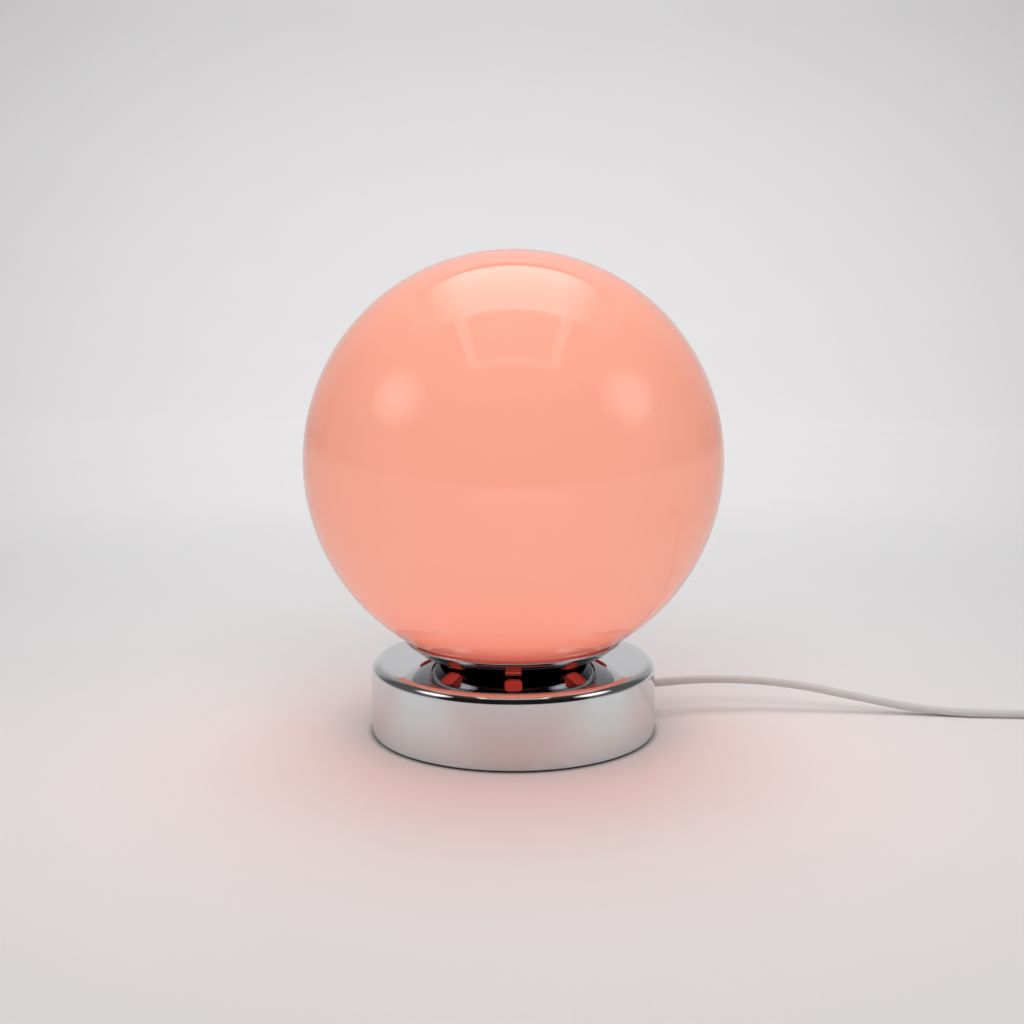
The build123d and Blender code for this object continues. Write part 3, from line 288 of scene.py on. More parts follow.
def welded_copy(node, name):
    """Merged copy of a CAD node's mesh."""
    source = frame["nodes"][node]
    build = bmesh.new()
    build.from_mesh(source.data)
    build.transform(source.matrix_world)
    bmesh.ops.remove_doubles(build, verts=build.verts, dist=WELD)
    mesh = bpy.data.meshes.new(name)
    build.to_mesh(mesh)
    build.free()
    return mesh


# ---------------------------------------------------------------- effects that several finishes use
def surface_marks_group():
    """Slow and fine variation of roughness and tone, as handling, moulding and polishing leave."""
    name = "Surface Marks"
    if name in bpy.data.node_groups:
        return bpy.data.node_groups[name]
    tree, given, result = new_group(
        name,
        "ShaderNodeTree",
        [
            ("Colour", "NodeSocketColor", (0.8, 0.8, 0.8, 1)),
            ("Tone Change", "NodeSocketFloat", 0.04),
            ("Roughness", "NodeSocketFloat", 0.3),
            ("Roughness Change", "NodeSocketFloat", 0.05),
            ("Scale", "NodeSocketFloat", 60.0),
            ("Stretch", "NodeSocketVector", (1.0, 1.0, 1.0)),
        ],
        [
            ("Colour", "NodeSocketColor"),
            ("Roughness", "NodeSocketFloat"),
            ("Height", "NodeSocketFloat"),
        ],
    )
    place = put(tree, "ShaderNodeTexCoord").outputs["Object"]
    stretched = put(
        tree, "ShaderNodeVectorMath", {0: place, 1: given.outputs["Stretch"]}, operation="MULTIPLY"
    ).outputs[0]
    slow = noise(tree, stretched, given.outputs["Scale"], 3.0)
    finer = maths(tree, "MULTIPLY", given.outputs["Scale"], 9.0)
    fine = noise(tree, stretched, finer, 2.0)
    swing = maths(tree, "MULTIPLY", maths(tree, "SUBTRACT", slow, 0.5), 2.0)
    change = maths(tree, "MULTIPLY", swing, given.outputs["Roughness Change"])
    rough = maths(tree, "ADD", given.outputs["Roughness"], change)
    tone = maths(tree, "ADD", 1.0, maths(tree, "MULTIPLY", swing, given.outputs["Tone Change"]))
    tree.links.new(scaled(tree, given.outputs["Colour"], tone), result.inputs["Colour"])
    tree.links.new(rough, result.inputs["Roughness"])
    tree.links.new(fine, result.inputs["Height"])
    return tree


def surface_marks(tree, shader, colour, roughness, change, tone, scale, stretch=(1, 1, 1)):
    """Surface marks in a material, which drive its shader's colour and roughness."""
    values = {
        "Colour": (*colour, 1),
        "Tone Change": tone,
        "Roughness": roughness,
        "Roughness Change": change,
        "Scale": scale,
        "Stretch": stretch,
    }
    marks = put(tree, "ShaderNodeGroup", values, node_tree=surface_marks_group())
    tree.links.new(marks.outputs["Colour"], shader.inputs["Base Color"])
    tree.links.new(marks.outputs["Roughness"], shader.inputs["Roughness"])
    return marks


# ---------------------------------------------------------------- finishes
BUMP_STRENGTH = 0.6


def marked_finish(
    name, colour, roughness, change, tone, scale, bump=0.0, stretch=(1, 1, 1), **shader_values
):
    """Material whose colour, roughness and bump come from the surface marks."""
    material, tree, shader = new_material(name, **shader_values)
    marks = surface_marks(tree, shader, colour, roughness, change, tone, scale, stretch)
    if bump:
        values = {"Height": marks.outputs["Height"], "Distance": bump, "Strength": BUMP_STRENGTH}
        relief = put(tree, "ShaderNodeBump", values)
        tree.links.new(relief.outputs["Normal"], shader.inputs["Normal"])
    return material


GLASS_IOR = 1.5
EDGE_FADE = 1.5
# share of the globe's height, and how much of the red and of the rest of the glow shows there: painted
# shade dims the glow towards the foot, and painted light brightens its red just above the foot
GLOW_BY_HEIGHT = (
    (0.0, 0.9, 0.16),
    (0.04, 0.9, 0.24),
    (0.06, 1.15, 0.42),
    (0.085, 1.38, 0.92),
    (0.11, 1.38, 1.1),
    (0.25, 1.1, 1.1),
    (1.0, 1.0, 1.0),
)


def self_lit(strength):
    """Glow of the glass, with its red and the rest of it scaled."""
    red, rest = strength
    glow = bpy.context.scene.lamp_colours.glow
    return (red * glow[0], rest * glow[1], rest * glow[2], 1)


def coral_glass():
    """Opal glass lit from within under a polished skin: coral, with painted shade that darkens its glow
    at its foot, and dimmer at its edge, partly as the skin turns light back and partly by painted shade.
    """
    colours = bpy.context.scene.lamp_colours
    material, tree, shader = new_material("Coral Opal Glass", IOR=GLASS_IOR)
    skin = put(tree, "ShaderNodeFresnel", {"IOR": GLASS_IOR}).outputs[0]
    # the glow fades at the edge by more than the skin turns back, and the extra is painted shade
    through = maths(tree, "SUBTRACT", 1.0, maths(tree, "MULTIPLY", skin, EDGE_FADE))
    lit = maths(tree, "MULTIPLY", maths(tree, "MAXIMUM", through, 0.0), colours.glow_strength)
    tree.links.new(lit, shader.inputs["Emission Strength"])
    surface_marks(tree, shader, colours.glass, 0.045, 0.015, 0.02, 14)
    foot, top = (corner[2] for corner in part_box("glass_globe"))
    # glow set by height, with painted shade towards the foot and painted light just above it
    ramp = put(tree, "ShaderNodeValToRGB", {"Fac": between(tree, own_height(tree), foot, top)})
    stops = ramp.color_ramp.elements
    stops[0].position, stops[0].color = GLOW_BY_HEIGHT[0][0], self_lit(GLOW_BY_HEIGHT[0][1:])
    stops[1].position, stops[1].color = GLOW_BY_HEIGHT[-1][0], self_lit(GLOW_BY_HEIGHT[-1][1:])
    for position, *strength in GLOW_BY_HEIGHT[1:-1]:
        stops.new(position).color = self_lit(strength)
    tree.links.new(ramp.outputs["Color"], shader.inputs["Emission Color"])
    return material


def mirror_chrome():
    """Chrome plating: a mirror on top, softer down the drum's side, with faint upright marks."""
    colours = bpy.context.scene.lamp_colours
    material, tree, shader = new_material("Mirror Chrome", Metallic=1.0)
    upright = (1, 1, 0.12)
    marks = surface_marks(tree, shader, colours.chrome, 0.035, 0.02, 0.05, 42, upright)
    edge_foot = bpy.context.scene.lamp_base.height - bpy.context.scene.lamp_base.edge
    softer = between(tree, own_height(tree), edge_foot, edge_foot - 4 * MM, 0.0, 0.13)
    tree.links.new(maths(tree, "ADD", marks.outputs["Roughness"], softer), shader.inputs["Roughness"])
    return material


# slot: name, colour, roughness and its change, change of tone, scale, bump and stretch of the marks
MARKED_FINISHES = {
    "iron": ("Dipped Cast Iron", (0.045, 0.045, 0.048), 0.62, 0.1, 0.2, 120, 0.0004),
    "cover_paint": ("Satin Black Paint", (0.018, 0.018, 0.019), 0.45, 0.06, 0.12, 150, 0.0001),
    "pad_foam": ("Foam Pad", (0.028, 0.027, 0.027), 0.85, 0.08, 0.35, 260, 0.0004),
    "silicone": ("Milky Silicone", (0.68, 0.66, 0.64), 0.4, 0.05, 0.04, 90),
    "zinc_steel": ("Bright Zinc", (0.6, 0.61, 0.63), 0.3, 0.1, 0.08, 110, 0.00005, (1, 1, 6)),
    "spring_steel": ("Spring Steel", (0.5, 0.5, 0.52), 0.26, 0.08, 0.06, 140, 0.00004, (1, 1, 8)),
    "holder_white": ("Holder Moulding", (0.74, 0.72, 0.68), 0.38, 0.05, 0.03, 130, 0.0001),
    "ceramic": ("White Ceramic", (0.78, 0.77, 0.73), 0.55, 0.08, 0.04, 150, 0.0002),
    "contact_brass": ("Contact Brass", (0.78, 0.56, 0.25), 0.27, 0.1, 0.1, 120, 0.00004),
    "cap_nickel": ("Plated Cap", (0.68, 0.67, 0.65), 0.25, 0.08, 0.06, 130, 0.00004),
    "black_glass": ("Black Insulator", (0.012, 0.012, 0.013), 0.14, 0.04, 0.1, 90),
    "solder": ("Solder", (0.5, 0.5, 0.52), 0.42, 0.12, 0.12, 200, 0.0002),
    "bulb_white": ("Bulb Body", (0.8, 0.8, 0.79), 0.4, 0.05, 0.03, 120, 0.0001),
    "bulb_opal": ("Opal Diffuser", (0.86, 0.86, 0.84), 0.32, 0.05, 0.02, 80),
    "board_white": ("Board", (0.78, 0.78, 0.75), 0.45, 0.06, 0.04, 140),
    "bush_clear": ("Bush Moulding", (0.66, 0.65, 0.64), 0.3, 0.06, 0.04, 120, 0.0001),
    "clamp_white": ("Clamp Moulding", (0.7, 0.69, 0.66), 0.5, 0.06, 0.04, 150, 0.0001),
    "core_insulation": ("Core Insulation", (0.1, 0.045, 0.02), 0.4, 0.05, 0.08, 120),
    "tie_white": ("Paper Tie", (0.66, 0.65, 0.62), 0.7, 0.06, 0.08, 300, 0.0003),
    "sleeve_black": ("Pin Sleeve", (0.015, 0.015, 0.016), 0.4, 0.05, 0.1, 160, 0.00008),
    "pin_metal": ("Plated Pin", (0.62, 0.6, 0.55), 0.2, 0.08, 0.06, 150, 0.00004, (1, 6, 6)),
}
SHADER_VALUES = {"iron": {"Metallic": 0.6}, "bulb_opal": {"Emission_Strength": 1.2}}
for metal in ("zinc_steel", "spring_steel", "contact_brass", "cap_nickel", "solder", "pin_metal"):
    SHADER_VALUES[metal] = {"Metallic": 1.0}


def new_finish(slot):
    """Material for a slot of the record."""
    colours = bpy.context.scene.lamp_colours
    if slot == "coral_glass":
        return coral_glass()
    if slot == "base_chrome":
        return mirror_chrome()
    if slot == "flex_pale":
        return marked_finish("Pale Flex Sheath", colours.flex, 0.36, 0.06, 0.05, 90, 0.00008)
    if slot in ("switch_white", "plug_white"):
        return marked_finish("Grained Moulding", colours.moulding, 0.42, 0.06, 0.03, 160, 0.0001)
    return marked_finish(*MARKED_FINISHES[slot], **SHADER_VALUES.get(slot, {}))


def finish_for(slot):
    """Material for a slot of the record, made on first use."""
    key = "Finish " + slot
    known = bpy.data.materials.get(key)
    if known is None:
        known = new_finish(slot)
        known.name = key
    return known


SLOT_OF = {part["node"]: part["material_slot"] for part in frame["record"]["subparts"]}


def finish_nodes(*nodes):
    """Give CAD nodes that stay the finish of their slots."""
    for node in nodes:
        data = frame["nodes"][node].data
        data.materials.clear()
        data.materials.append(finish_for(SLOT_OF[node]))


def fitted_piece(node, name, body="base"):
    """Smooth welded copy of a CAD node, in the finish of its slot, that replaces it."""
    piece = as_piece(name, welded_copy(node, name), finish_for(SLOT_OF[node]), body, (node,))
    return piece


# ---------------------------------------------------------------- the studio
CAMERA_PLACE = (-0.00065, -0.67983, 0.21195)
CAMERA_TILT = 0.153
FOCAL_SHARE = 1428.0 / 1024
SENSOR_WIDTH = 36
SWEEP_FLAT, SWEEP_BEND, SWEEP_TOP = 1.7, 0.9, 2.6
SWEEP_STEPS = 96
SOFT_STEPS = 6
GLOW_COLOUR = (1.0, 0.3, 0.19)
GLOW_RADIUS = 0.1015
BOUNCE_COLOUR = (0.5, 1.0, 1.0)


def softbox(name, place, size, radiance, aim=None, seen_in="glossy", shape="RECTANGLE"):
    """Light of a given brightness, facing a point or straight down.

    It is seen either in reflections or by matt surfaces, so that each can be set by itself.
    """
    filled = 1 if shape == "RECTANGLE" else pi / 4
    data = bpy.data.lights.new(name, "AREA")
    data.shape = shape
    data.size, data.size_y = size
    data.energy = pi * radiance * size[0] * size[1] * filled
    light = bpy.data.objects.new(name, data)
    light.location = place
    if aim:
        light.rotation_euler = (Vector(aim) - Vector(place)).to_track_quat("-Z", "Y").to_euler()
    light.visible_camera = False
    light.visible_diffuse = seen_in == "diffuse"
    light.visible_glossy = seen_in == "glossy"
    bpy.context.scene.collection.objects.link(light)
    return light


def soft_edged(name, place, gap, size, growth, radiance, aim=None, shape="RECTANGLE"):
    """Lights one behind another, each wider than the last, whose reflection fades at its edge."""
    return [
        softbox(
            name,
            tuple(middle + step * apart for middle, apart in zip(place, gap)),
            tuple(first + step * more for first, more in zip(size, growth)),
            radiance / SOFT_STEPS,
            aim,
            shape=shape,
        )
        for step in range(SOFT_STEPS)
    ]


def sweep_material(floor, backdrop):
    """Pale paper: lit near the lamp with painted shade and a painted contact shadow, of one soft tone
    far off with painted shade, and with a painted dark reflection in front.
    """
    material, tree, shader = new_material(
        "Paper Sweep", Roughness=0.75, Specular_IOR_Level=0.1, Emission_Strength=1.0
    )
    place = put(tree, "ShaderNodeTexCoord").outputs["Object"]
    parts = put(tree, "ShaderNodeSeparateXYZ", {0: place})
    x, y, z = (parts.outputs[axis] for axis in "XYZ")
    flat = put(tree, "ShaderNodeCombineXYZ", {"X": x, "Y": y}).outputs[0]
    away = put(tree, "ShaderNodeVectorMath", {0: flat}, operation="LENGTH").outputs["Value"]
    far = between(tree, away, 0.2, 0.92, interpolation_type="SMOOTHSTEP")
    rays = put(tree, "ShaderNodeLightPath").outputs
    direct = maths(tree, "ADD", rays["Is Camera Ray"], rays["Is Glossy Ray"])
    seen = maths(tree, "ADD", direct, rays["Is Transmission Ray"])
    shown = maths(tree, "MULTIPLY", far, seen)
    # the lit paper: faintly mottled, with painted shade that darkens it to the sides and in front, and a
    # painted contact shadow round the drum's foot
    fibres = noise(tree, place, 9.0, 6.0)
    mottle = maths(tree, "ADD", 0.985, maths(tree, "MULTIPLY", fibres, 0.03))
    # painted shade: the paper darkens to the sides and in front
    nearer = maths(tree, "MINIMUM", y, 0.0)
    across = maths(tree, "MULTIPLY", maths(tree, "MULTIPLY", x, x), 0.6)
    spread = maths(tree, "ADD", across, maths(tree, "MULTIPLY", nearer, nearer))
    paper_with_painted_falloff = maths(tree, "SUBTRACT", mottle, maths(tree, "MINIMUM", spread, 0.2))
    # painted contact shadow in a narrow ring round the drum's foot
    painted_contact_shadow = between(tree, away, 0.067, 0.0715, 0.2)
    paper = scaled(tree, floor, maths(tree, "MULTIPLY", paper_with_painted_falloff, painted_contact_shadow))
    lit = put(tree, "ShaderNodeMix", {0: shown, 6: paper, 7: (0, 0, 0, 1)}, data_type="RGBA").outputs[2]
    # the paper far off: an even tone, with painted shade that darkens it upwards and to the sides
    high = maths(tree, "MULTIPLY", maths(tree, "MULTIPLY", z, z), 0.24)
    lower = maths(tree, "MINIMUM", high, 0.15)
    aside = maths(tree, "DIVIDE", x, maths(tree, "ADD", maths(tree, "MAXIMUM", y, 0.0), 0.7))
    wide = maths(tree, "MULTIPLY", maths(tree, "MULTIPLY", aside, aside), 1.3)
    outer = maths(tree, "MINIMUM", wide, 0.3)
    tone = maths(tree, "SUBTRACT", maths(tree, "SUBTRACT", 1.0, lower), outer)
    # painted reflection: reflections alone see the paper darker in front, and above the table beside the
    # lamp
    front = between(tree, y, -1.0, -1.25, 0.0, 0.97)
    beside = between(tree, y, 2.0, 1.3, 0.0, 0.75)
    raised = between(tree, z, 0.0, 0.12)
    dark = maths(tree, "MAXIMUM", front, maths(tree, "MULTIPLY", beside, raised))
    painted_reflection_dimming = maths(tree, "SUBTRACT", 1.0, maths(tree, "MULTIPLY", dark, rays["Is Glossy Ray"]))
    toned = maths(tree, "MULTIPLY", tone, shown)
    strength = maths(tree, "MULTIPLY", toned, maths(tree, "MULTIPLY", painted_reflection_dimming, mottle))
    tree.links.new(lit, shader.inputs["Base Color"])
    tree.links.new(scaled(tree, backdrop, strength), shader.inputs["Emission Color"])
    return material


class LAMP_OT_studio(bpy.types.Operator):
    """Camera, paper sweep, softboxes and the room's light"""

    bl_idname = "lamp.studio"
    bl_label = "Studio"

    def execute(self, context):
        scene, studio = context.scene, context.scene.lamp_studio
        data = bpy.data.cameras.new("Camera")
        data.lens = FOCAL_SHARE * SENSOR_WIDTH
        data.sensor_width = SENSOR_WIDTH
        camera = bpy.data.objects.new("Camera", data)
        camera.location = CAMERA_PLACE
        camera.rotation_euler = (pi / 2 - CAMERA_TILT, 0, 0)
        scene.collection.objects.link(camera)
        scene.camera = camera
        scene.view_settings.view_transform = "Standard"

        outline = [(0.0, 0.0), (0.3, 0.0), (0.8, 0.0), (SWEEP_FLAT, 0.0)]
        outline += arc_points((SWEEP_FLAT, SWEEP_BEND), SWEEP_BEND, -90, 0, 24)[1:]
        outline += [(SWEEP_FLAT + SWEEP_BEND, SWEEP_TOP)]
        mesh = turned_mesh("paper_sweep", outline, SWEEP_STEPS, ends_meet=False)
        mesh.shade_smooth()
        sweep = bpy.data.objects.new("paper_sweep", mesh)
        sweep.data.materials.append(sweep_material(tuple(studio.floor), tuple(studio.backdrop)))
        scene.collection.objects.link(sweep)
        self.softboxes(studio)
        self.globe_glow(scene, sweep)
        self.room(scene)
        return {"FINISHED"}

    @staticmethod
    def softboxes(studio):
        """Panels and side boxes for reflections, and two lights for matt surfaces."""
        bright = studio.overhead
        soft_edged("overhead_softbox", (0, 0.6, 1.52), (0, 0, 0.005), (0.9, 1.18), (0.13, 0), bright)
        softbox("overhead_halo", (0, 0.55, 1.56), (2.3, 1.05), 0.16 * bright)
        softbox("overhead_rim", (0, 0.0, 1.51), (1.0, 0.09), 0.5 * bright)
        softbox("frame_panel", (0, -0.5, 1.54), (1.2, 0.95), 0.16 * bright)
        softbox("frame_front", (0, -0.89, 1.53), (1.35, 0.17), 0.34 * bright)
        for side in (-1, 1):
            softbox("frame_side", (side * 0.53, -0.45, 1.53), (0.13, 0.9), 0.5 * bright)
            place, gap = (side * 0.145, -0.07, 0.0005), (0, 0, -0.00005)
            bounces = soft_edged(
                "floor_bounce", place, gap, (0.12, 0.06), (0.03, 0.015), studio.bounce, None, "ELLIPSE"
            )
            for bounce in bounces:
                bounce.rotation_euler = (pi, 0, 0)
                bounce.data.color = BOUNCE_COLOUR
            place, gap = (side, -0.34, 0.72), (side * 0.01, -0.0034, 0.0059)
            size, growth = (0.22, 0.176), (0.11, 0.088)
            soft_edged("side_softbox", place, gap, size, growth, studio.sides, (0, 0, 0.13), "ELLIPSE")
        softbox("overhead_light", (0, 0.6, 1.5), (1.12, 1.18), 1.08 * bright, seen_in="diffuse")
        softbox("front_fill", (0, -1.3, 1.5), (1.8, 1.2), studio.front, (0, 0, 0.1), "diffuse")

    @staticmethod
    def globe_glow(scene, sweep):
        """Light that the globe throws on the paper."""
        glow = bpy.data.lights.new("globe_glow", "POINT")
        glow.energy = scene.lamp_studio.glow
        glow.color = GLOW_COLOUR
        glow.shadow_soft_size = GLOW_RADIUS
        glow.use_soft_falloff = False
        light = bpy.data.objects.new("globe_glow", glow)
        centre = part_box("glass_globe")[1][2] - scene.lamp_globe.diameter / 2
        light.location = (0, -0.015, centre)
        light.visible_camera = light.visible_glossy = False
        falls_on = bpy.data.collections.new("Glow Falls On")
        falls_on.objects.link(sweep)
        light.light_linking.receiver_collection = falls_on
        scene.collection.objects.link(light)

    @staticmethod
    def room(scene):
        """Even light of the room, which reflections show much darker."""
        world = bpy.data.worlds.new("Room")
        scene.world = world
        world.use_nodes = True
        tree = world.node_tree
        reflected = put(tree, "ShaderNodeLightPath").outputs["Is Glossy Ray"]
        shown = maths(tree, "ADD", 1.0, maths(tree, "MULTIPLY", reflected, -0.9))
        background = tree.nodes["Background"]
        background.inputs["Color"].default_value = (0.97, 0.98, 1.0, 1)
        strength = maths(tree, "MULTIPLY", shown, scene.lamp_studio.fill)
        tree.links.new(strength, background.inputs["Strength"])


# ---------------------------------------------------------------- geometry nodes
def grown(name, tree, values, mesh):
    """Plain mesh that a geometry node tree makes of its named inputs and a mesh."""
    maker = bpy.data.objects.new(name + "_maker", mesh)
    modifier = maker.modifiers.new(name, "NODES")
    modifier.node_group = tree
    for item in tree.interface.items_tree:
        if item.item_type == "SOCKET" and item.in_out == "INPUT" and item.name in values:
            modifier[item.identifier] = values[item.name]
    bpy.context.scene.collection.objects.link(maker)
    evaluated = maker.evaluated_get(bpy.context.evaluated_depsgraph_get())
    made = bpy.data.meshes.new_from_object(evaluated)
    made.name = name
    bpy.data.objects.remove(maker)
    return made


def dressed_output(tree, given, result, geometry):
    """End of a tree: instances made real, in the material that was asked for."""
    real = put(tree, "GeometryNodeRealizeInstances", {"Geometry": geometry}).outputs[0]
    values = {"Geometry": real, "Material": given.outputs["Material"]}
    dressed = put(tree, "GeometryNodeSetMaterial", values)
    tree.links.new(dressed.outputs[0], result.inputs["Geometry"])


def pierced_sheet_tree():
    """Windows or holes cut through a turned sheet, evenly round the axis."""
    name = "Pierced Sheet"
    if name in bpy.data.node_groups:
        return bpy.data.node_groups[name]
    lengths = ["Width", "Length", "Corner", "Depth", "Radius", "Height", "Lean", "Turn"]
    tree, given, result = new_group(
        name,
        "GeometryNodeTree",
        [("Sheet", "NodeSocketGeometry", None), ("Count", "NodeSocketInt", 1)]
        + [(label, "NodeSocketFloat", 0.01) for label in lengths]
        + [("Material", "NodeSocketMaterial", None)],
        [("Geometry", "NodeSocketGeometry")],
    )
    outline = put(
        tree,
        "GeometryNodeCurvePrimitiveQuadrilateral",
        {"Width": given.outputs["Width"], "Height": given.outputs["Length"]},
    ).outputs["Curve"]
    rounded = put(
        tree,
        "GeometryNodeFilletCurve",
        {"Curve": outline, "Count": 9, "Radius": given.outputs["Corner"]},
        mode="POLY",
    ).outputs["Curve"]
    face = put(tree, "GeometryNodeFillCurve", {"Curve": rounded}, mode="NGONS").outputs["Mesh"]
    half = maths(tree, "MULTIPLY", given.outputs["Depth"], 0.5)
    below = put(tree, "ShaderNodeCombineXYZ", {"Z": maths(tree, "MULTIPLY", half, -1.0)}).outputs[0]
    base = put(tree, "GeometryNodeTransform", {"Geometry": face, "Translation": below}).outputs[0]
    raised = put(
        tree, "GeometryNodeExtrudeMesh", {"Mesh": base, "Offset Scale": given.outputs["Depth"]}
    ).outputs["Mesh"]
    turned = put(tree, "GeometryNodeFlipFaces", {"Mesh": base}).outputs["Mesh"]
    both = put(tree, "GeometryNodeJoinGeometry")
    tree.links.new(raised, both.inputs[0])
    tree.links.new(turned, both.inputs[0])
    cutter = put(
        tree, "GeometryNodeMergeByDistance", {"Geometry": both.outputs[0], "Distance": WELD}
    ).outputs[0]
    lean = maths(tree, "SUBTRACT", pi, given.outputs["Lean"])
    tilted = put(tree, "ShaderNodeCombineXYZ", {"X": lean}).outputs[0]
    forward = maths(tree, "MULTIPLY", given.outputs["Radius"], -1.0)
    spot = put(tree, "ShaderNodeCombineXYZ", {"Y": forward, "Z": given.outputs["Height"]}).outputs[0]
    placed = put(
        tree, "GeometryNodeTransform", {"Geometry": cutter, "Translation": spot, "Rotation": tilted}
    ).outputs[0]
    points = put(tree, "GeometryNodePoints", {"Count": given.outputs["Count"]}).outputs[0]
    index = put(tree, "GeometryNodeInputIndex").outputs[0]
    share = maths(tree, "DIVIDE", index, given.outputs["Count"])
    turn = maths(tree, "ADD", maths(tree, "MULTIPLY", share, 2 * pi), given.outputs["Turn"])
    turning = put(tree, "ShaderNodeCombineXYZ", {"Z": turn}).outputs[0]
    ring = put(
        tree, "GeometryNodeInstanceOnPoints", {"Points": points, "Instance": placed, "Rotation": turning}
    ).outputs[0]
    cutters = put(tree, "GeometryNodeRealizeInstances", {"Geometry": ring}).outputs[0]
    cut = put(tree, "GeometryNodeMeshBoolean", operation="DIFFERENCE", solver="EXACT")
    tree.links.new(given.outputs["Sheet"], cut.inputs[0])
    tree.links.new(cutters, cut.inputs[1])
    dressed_output(tree, given, result, cut.outputs["Mesh"])
    return tree


# ---------------------------------------------------------------- the pieces
SMOOTH_STEPS, CUP_STEPS = 256, 240


class LAMP_OT_flex(bpy.types.Operator):
    """Flat flex from the bush along the table, through the switch and the put-away coil, to the plug"""

    bl_idname = "lamp.flex"
    bl_label = "Flat Flex"

    lead = [
        (69.35, 25.24, 15.0),
        (84.0, 30.6, 15.0),
        (100.0, 34.0, 14.9),
        (122.0, 34.5, 14.5),
        (148.0, 31.5, 12.4),
        (175.0, 27.0, 7.6),
        (202.0, 21.5, 3.4),
        (226.0, 17.2, 1.85),
        (250.0, 15.6, 1.85),
        (268.0, 15.2, 1.85),
        (285.0, 15.4, 4.4),
        (304.0, 15.4, 4.4),
        (354.0, 15.4, 4.4),
    ]
    coil_mouth = (402.0, 15.4, 3.7)
    coil_centre = (407.6, -22.775)
    coil_low, coil_layer = 3.7, 6.1
    coil_radius, coil_pitch = 22.8, 4.1
    half_turns, points_a_turn = 15, 16
    twist_share = (0.1, 0.32, 0.5, 0.68, 0.9)
    twist_length, plug_height = 44, 6.9

    def execute(self, context):
        sizes = context.scene.lamp_flex
        points = [(place, 0.0) for place in self.lead]
        points += self.twist(self.lead[-1], self.coil_mouth, 0, 90)
        step = 2 / self.points_a_turn
        reach = 1 / cos(pi * step / 2)
        for i in range(round(self.half_turns / step)):
            points.append((self.coil_place((i + 0.5) * step, reach), radians(90)))
        end = self.coil_place(self.half_turns, 1)
        plug_mouth = (end[0] - self.twist_length, end[1], self.plug_height)
        points.append(((end[0] - 0.5, end[1], end[2]), radians(90)))
        points += self.twist(end, plug_mouth, 90, 0)
        points.append((plug_mouth, 0.0))

        route = bpy.data.curves.new("flex_route", "CURVE")
        route.dimensions = "3D"
        route.twist_mode = "Z_UP"
        route.resolution_u = 6
        spline = route.splines.new("NURBS")
        spline.points.add(len(points) - 1)
        for target, (place, tilt) in zip(spline.points, points):
            target.co = (*[value * MM for value in place], 1)
            target.tilt = tilt
        spline.order_u = 3
        spline.use_endpoint_u = True
        maker = bpy.data.objects.new("flex_route", route)
        context.scene.collection.objects.link(maker)
        bare = bpy.data.meshes.new_from_object(maker.evaluated_get(context.evaluated_depsgraph_get()))

        section = self.section(sizes.width, sizes.thickness)
        context.scene.collection.objects.link(section)
        route.bevel_mode = "OBJECT"
        route.bevel_object = section
        route.use_fill_caps = True
        mesh = bpy.data.meshes.new_from_object(maker.evaluated_get(context.evaluated_depsgraph_get()))
        mesh.name = "flat_flex"
        mesh.materials.clear()
        closed(mesh)
        for helper in (maker, section):
            bpy.data.objects.remove(helper)
        flex = as_piece(
            "flat_flex",
            mesh,
            finish_for("flex_pale"),
            "base",
            ("cord_lead", "cord_tail", "cord_coil", "cord_plug_lead"),
            50,
        )
        return {"FINISHED"}

    def twist(self, start, end, first, last):
        """Points of a straight length in which the flex turns about its own middle."""
        points = []
        for share in self.twist_share:
            ease = share * share * (3 - 2 * share)
            place = [a + (b - a) * share for a, b in zip(start, end)]
            place[2] = start[2] + (end[2] - start[2]) * ease
            points.append((tuple(place), radians(first + (last - first) * ease)))
        return points

    def coil_place(self, half_turn, reach):
        """Point of the coil after some half turns: in on the lower layer, out again on the upper."""
        spread = half_turn - self.half_turns / 2
        radius = (self.coil_radius + self.coil_pitch * abs(spread) / 2) * reach
        climb = pi * min(max(spread + 0.5, 0), 1)
        height = self.coil_low + self.coil_layer * (1 - cos(climb)) / 2
        x, y = self.coil_centre
        return (x + radius * sin(pi * half_turn), y + radius * cos(pi * half_turn), height)

    @staticmethod
    def section(width, thickness):
        """Outline of the flat flex: two round sides joined by flats."""
        side, half = thickness / 2, (width - thickness) / 2
        outline = arc_points((half, 0), side, -90, 90, 10) + arc_points((-half, 0), side, 90, 270, 10)
        curve = bpy.data.curves.new("flex_section", "CURVE")
        curve.dimensions = "2D"
        spline = curve.splines.new("POLY")
        spline.points.add(len(outline) - 1)
        for target, (x, y) in zip(spline.points, outline):
            target.co = (x, y, 0, 1)
        spline.use_cyclic_u = True
        return bpy.data.objects.new("flex_section", curve)


class LAMP_OT_globe(bpy.types.Operator):
    """Hollow globe of coral opal glass with a ground and polished mouth"""

    bl_idname = "lamp.globe"
    bl_label = "Glass Globe"

    def execute(self, context):
        sizes = context.scene.lamp_globe
        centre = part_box("glass_globe")[1][2] - sizes.diameter / 2
        outer, inner = sizes.diameter / 2, sizes.diameter / 2 - sizes.wall
        mouth, lip = sizes.mouth / 2, sizes.lip
        outer_lip = (mouth + lip, centre - sqrt((outer - lip) ** 2 - (mouth + lip) ** 2))
        inner_lip = (mouth + lip, centre - sqrt((inner + lip) ** 2 - (mouth + lip) ** 2))
        outer_turn = degrees(atan2(outer_lip[1] - centre, outer_lip[0]))
        inner_turn = degrees(atan2(inner_lip[1] - centre, inner_lip[0]))
        profile = arc_points(inner_lip, lip, 180 + inner_turn, 180, 4)
        profile += arc_points(outer_lip, lip, -180, outer_turn, 5)
        profile += arc_points((0, centre), outer, outer_turn, 90, 110)[1:]
        profile += arc_points((0, centre), inner, 90, inner_turn, 110)[:-1]
        mesh = turned_mesh("coral_globe", profile, SMOOTH_STEPS)
        globe = as_piece(
            "coral_globe", mesh, finish_for("coral_glass"), "globe", ("glass_globe",), 60
        )
        return {"FINISHED"}


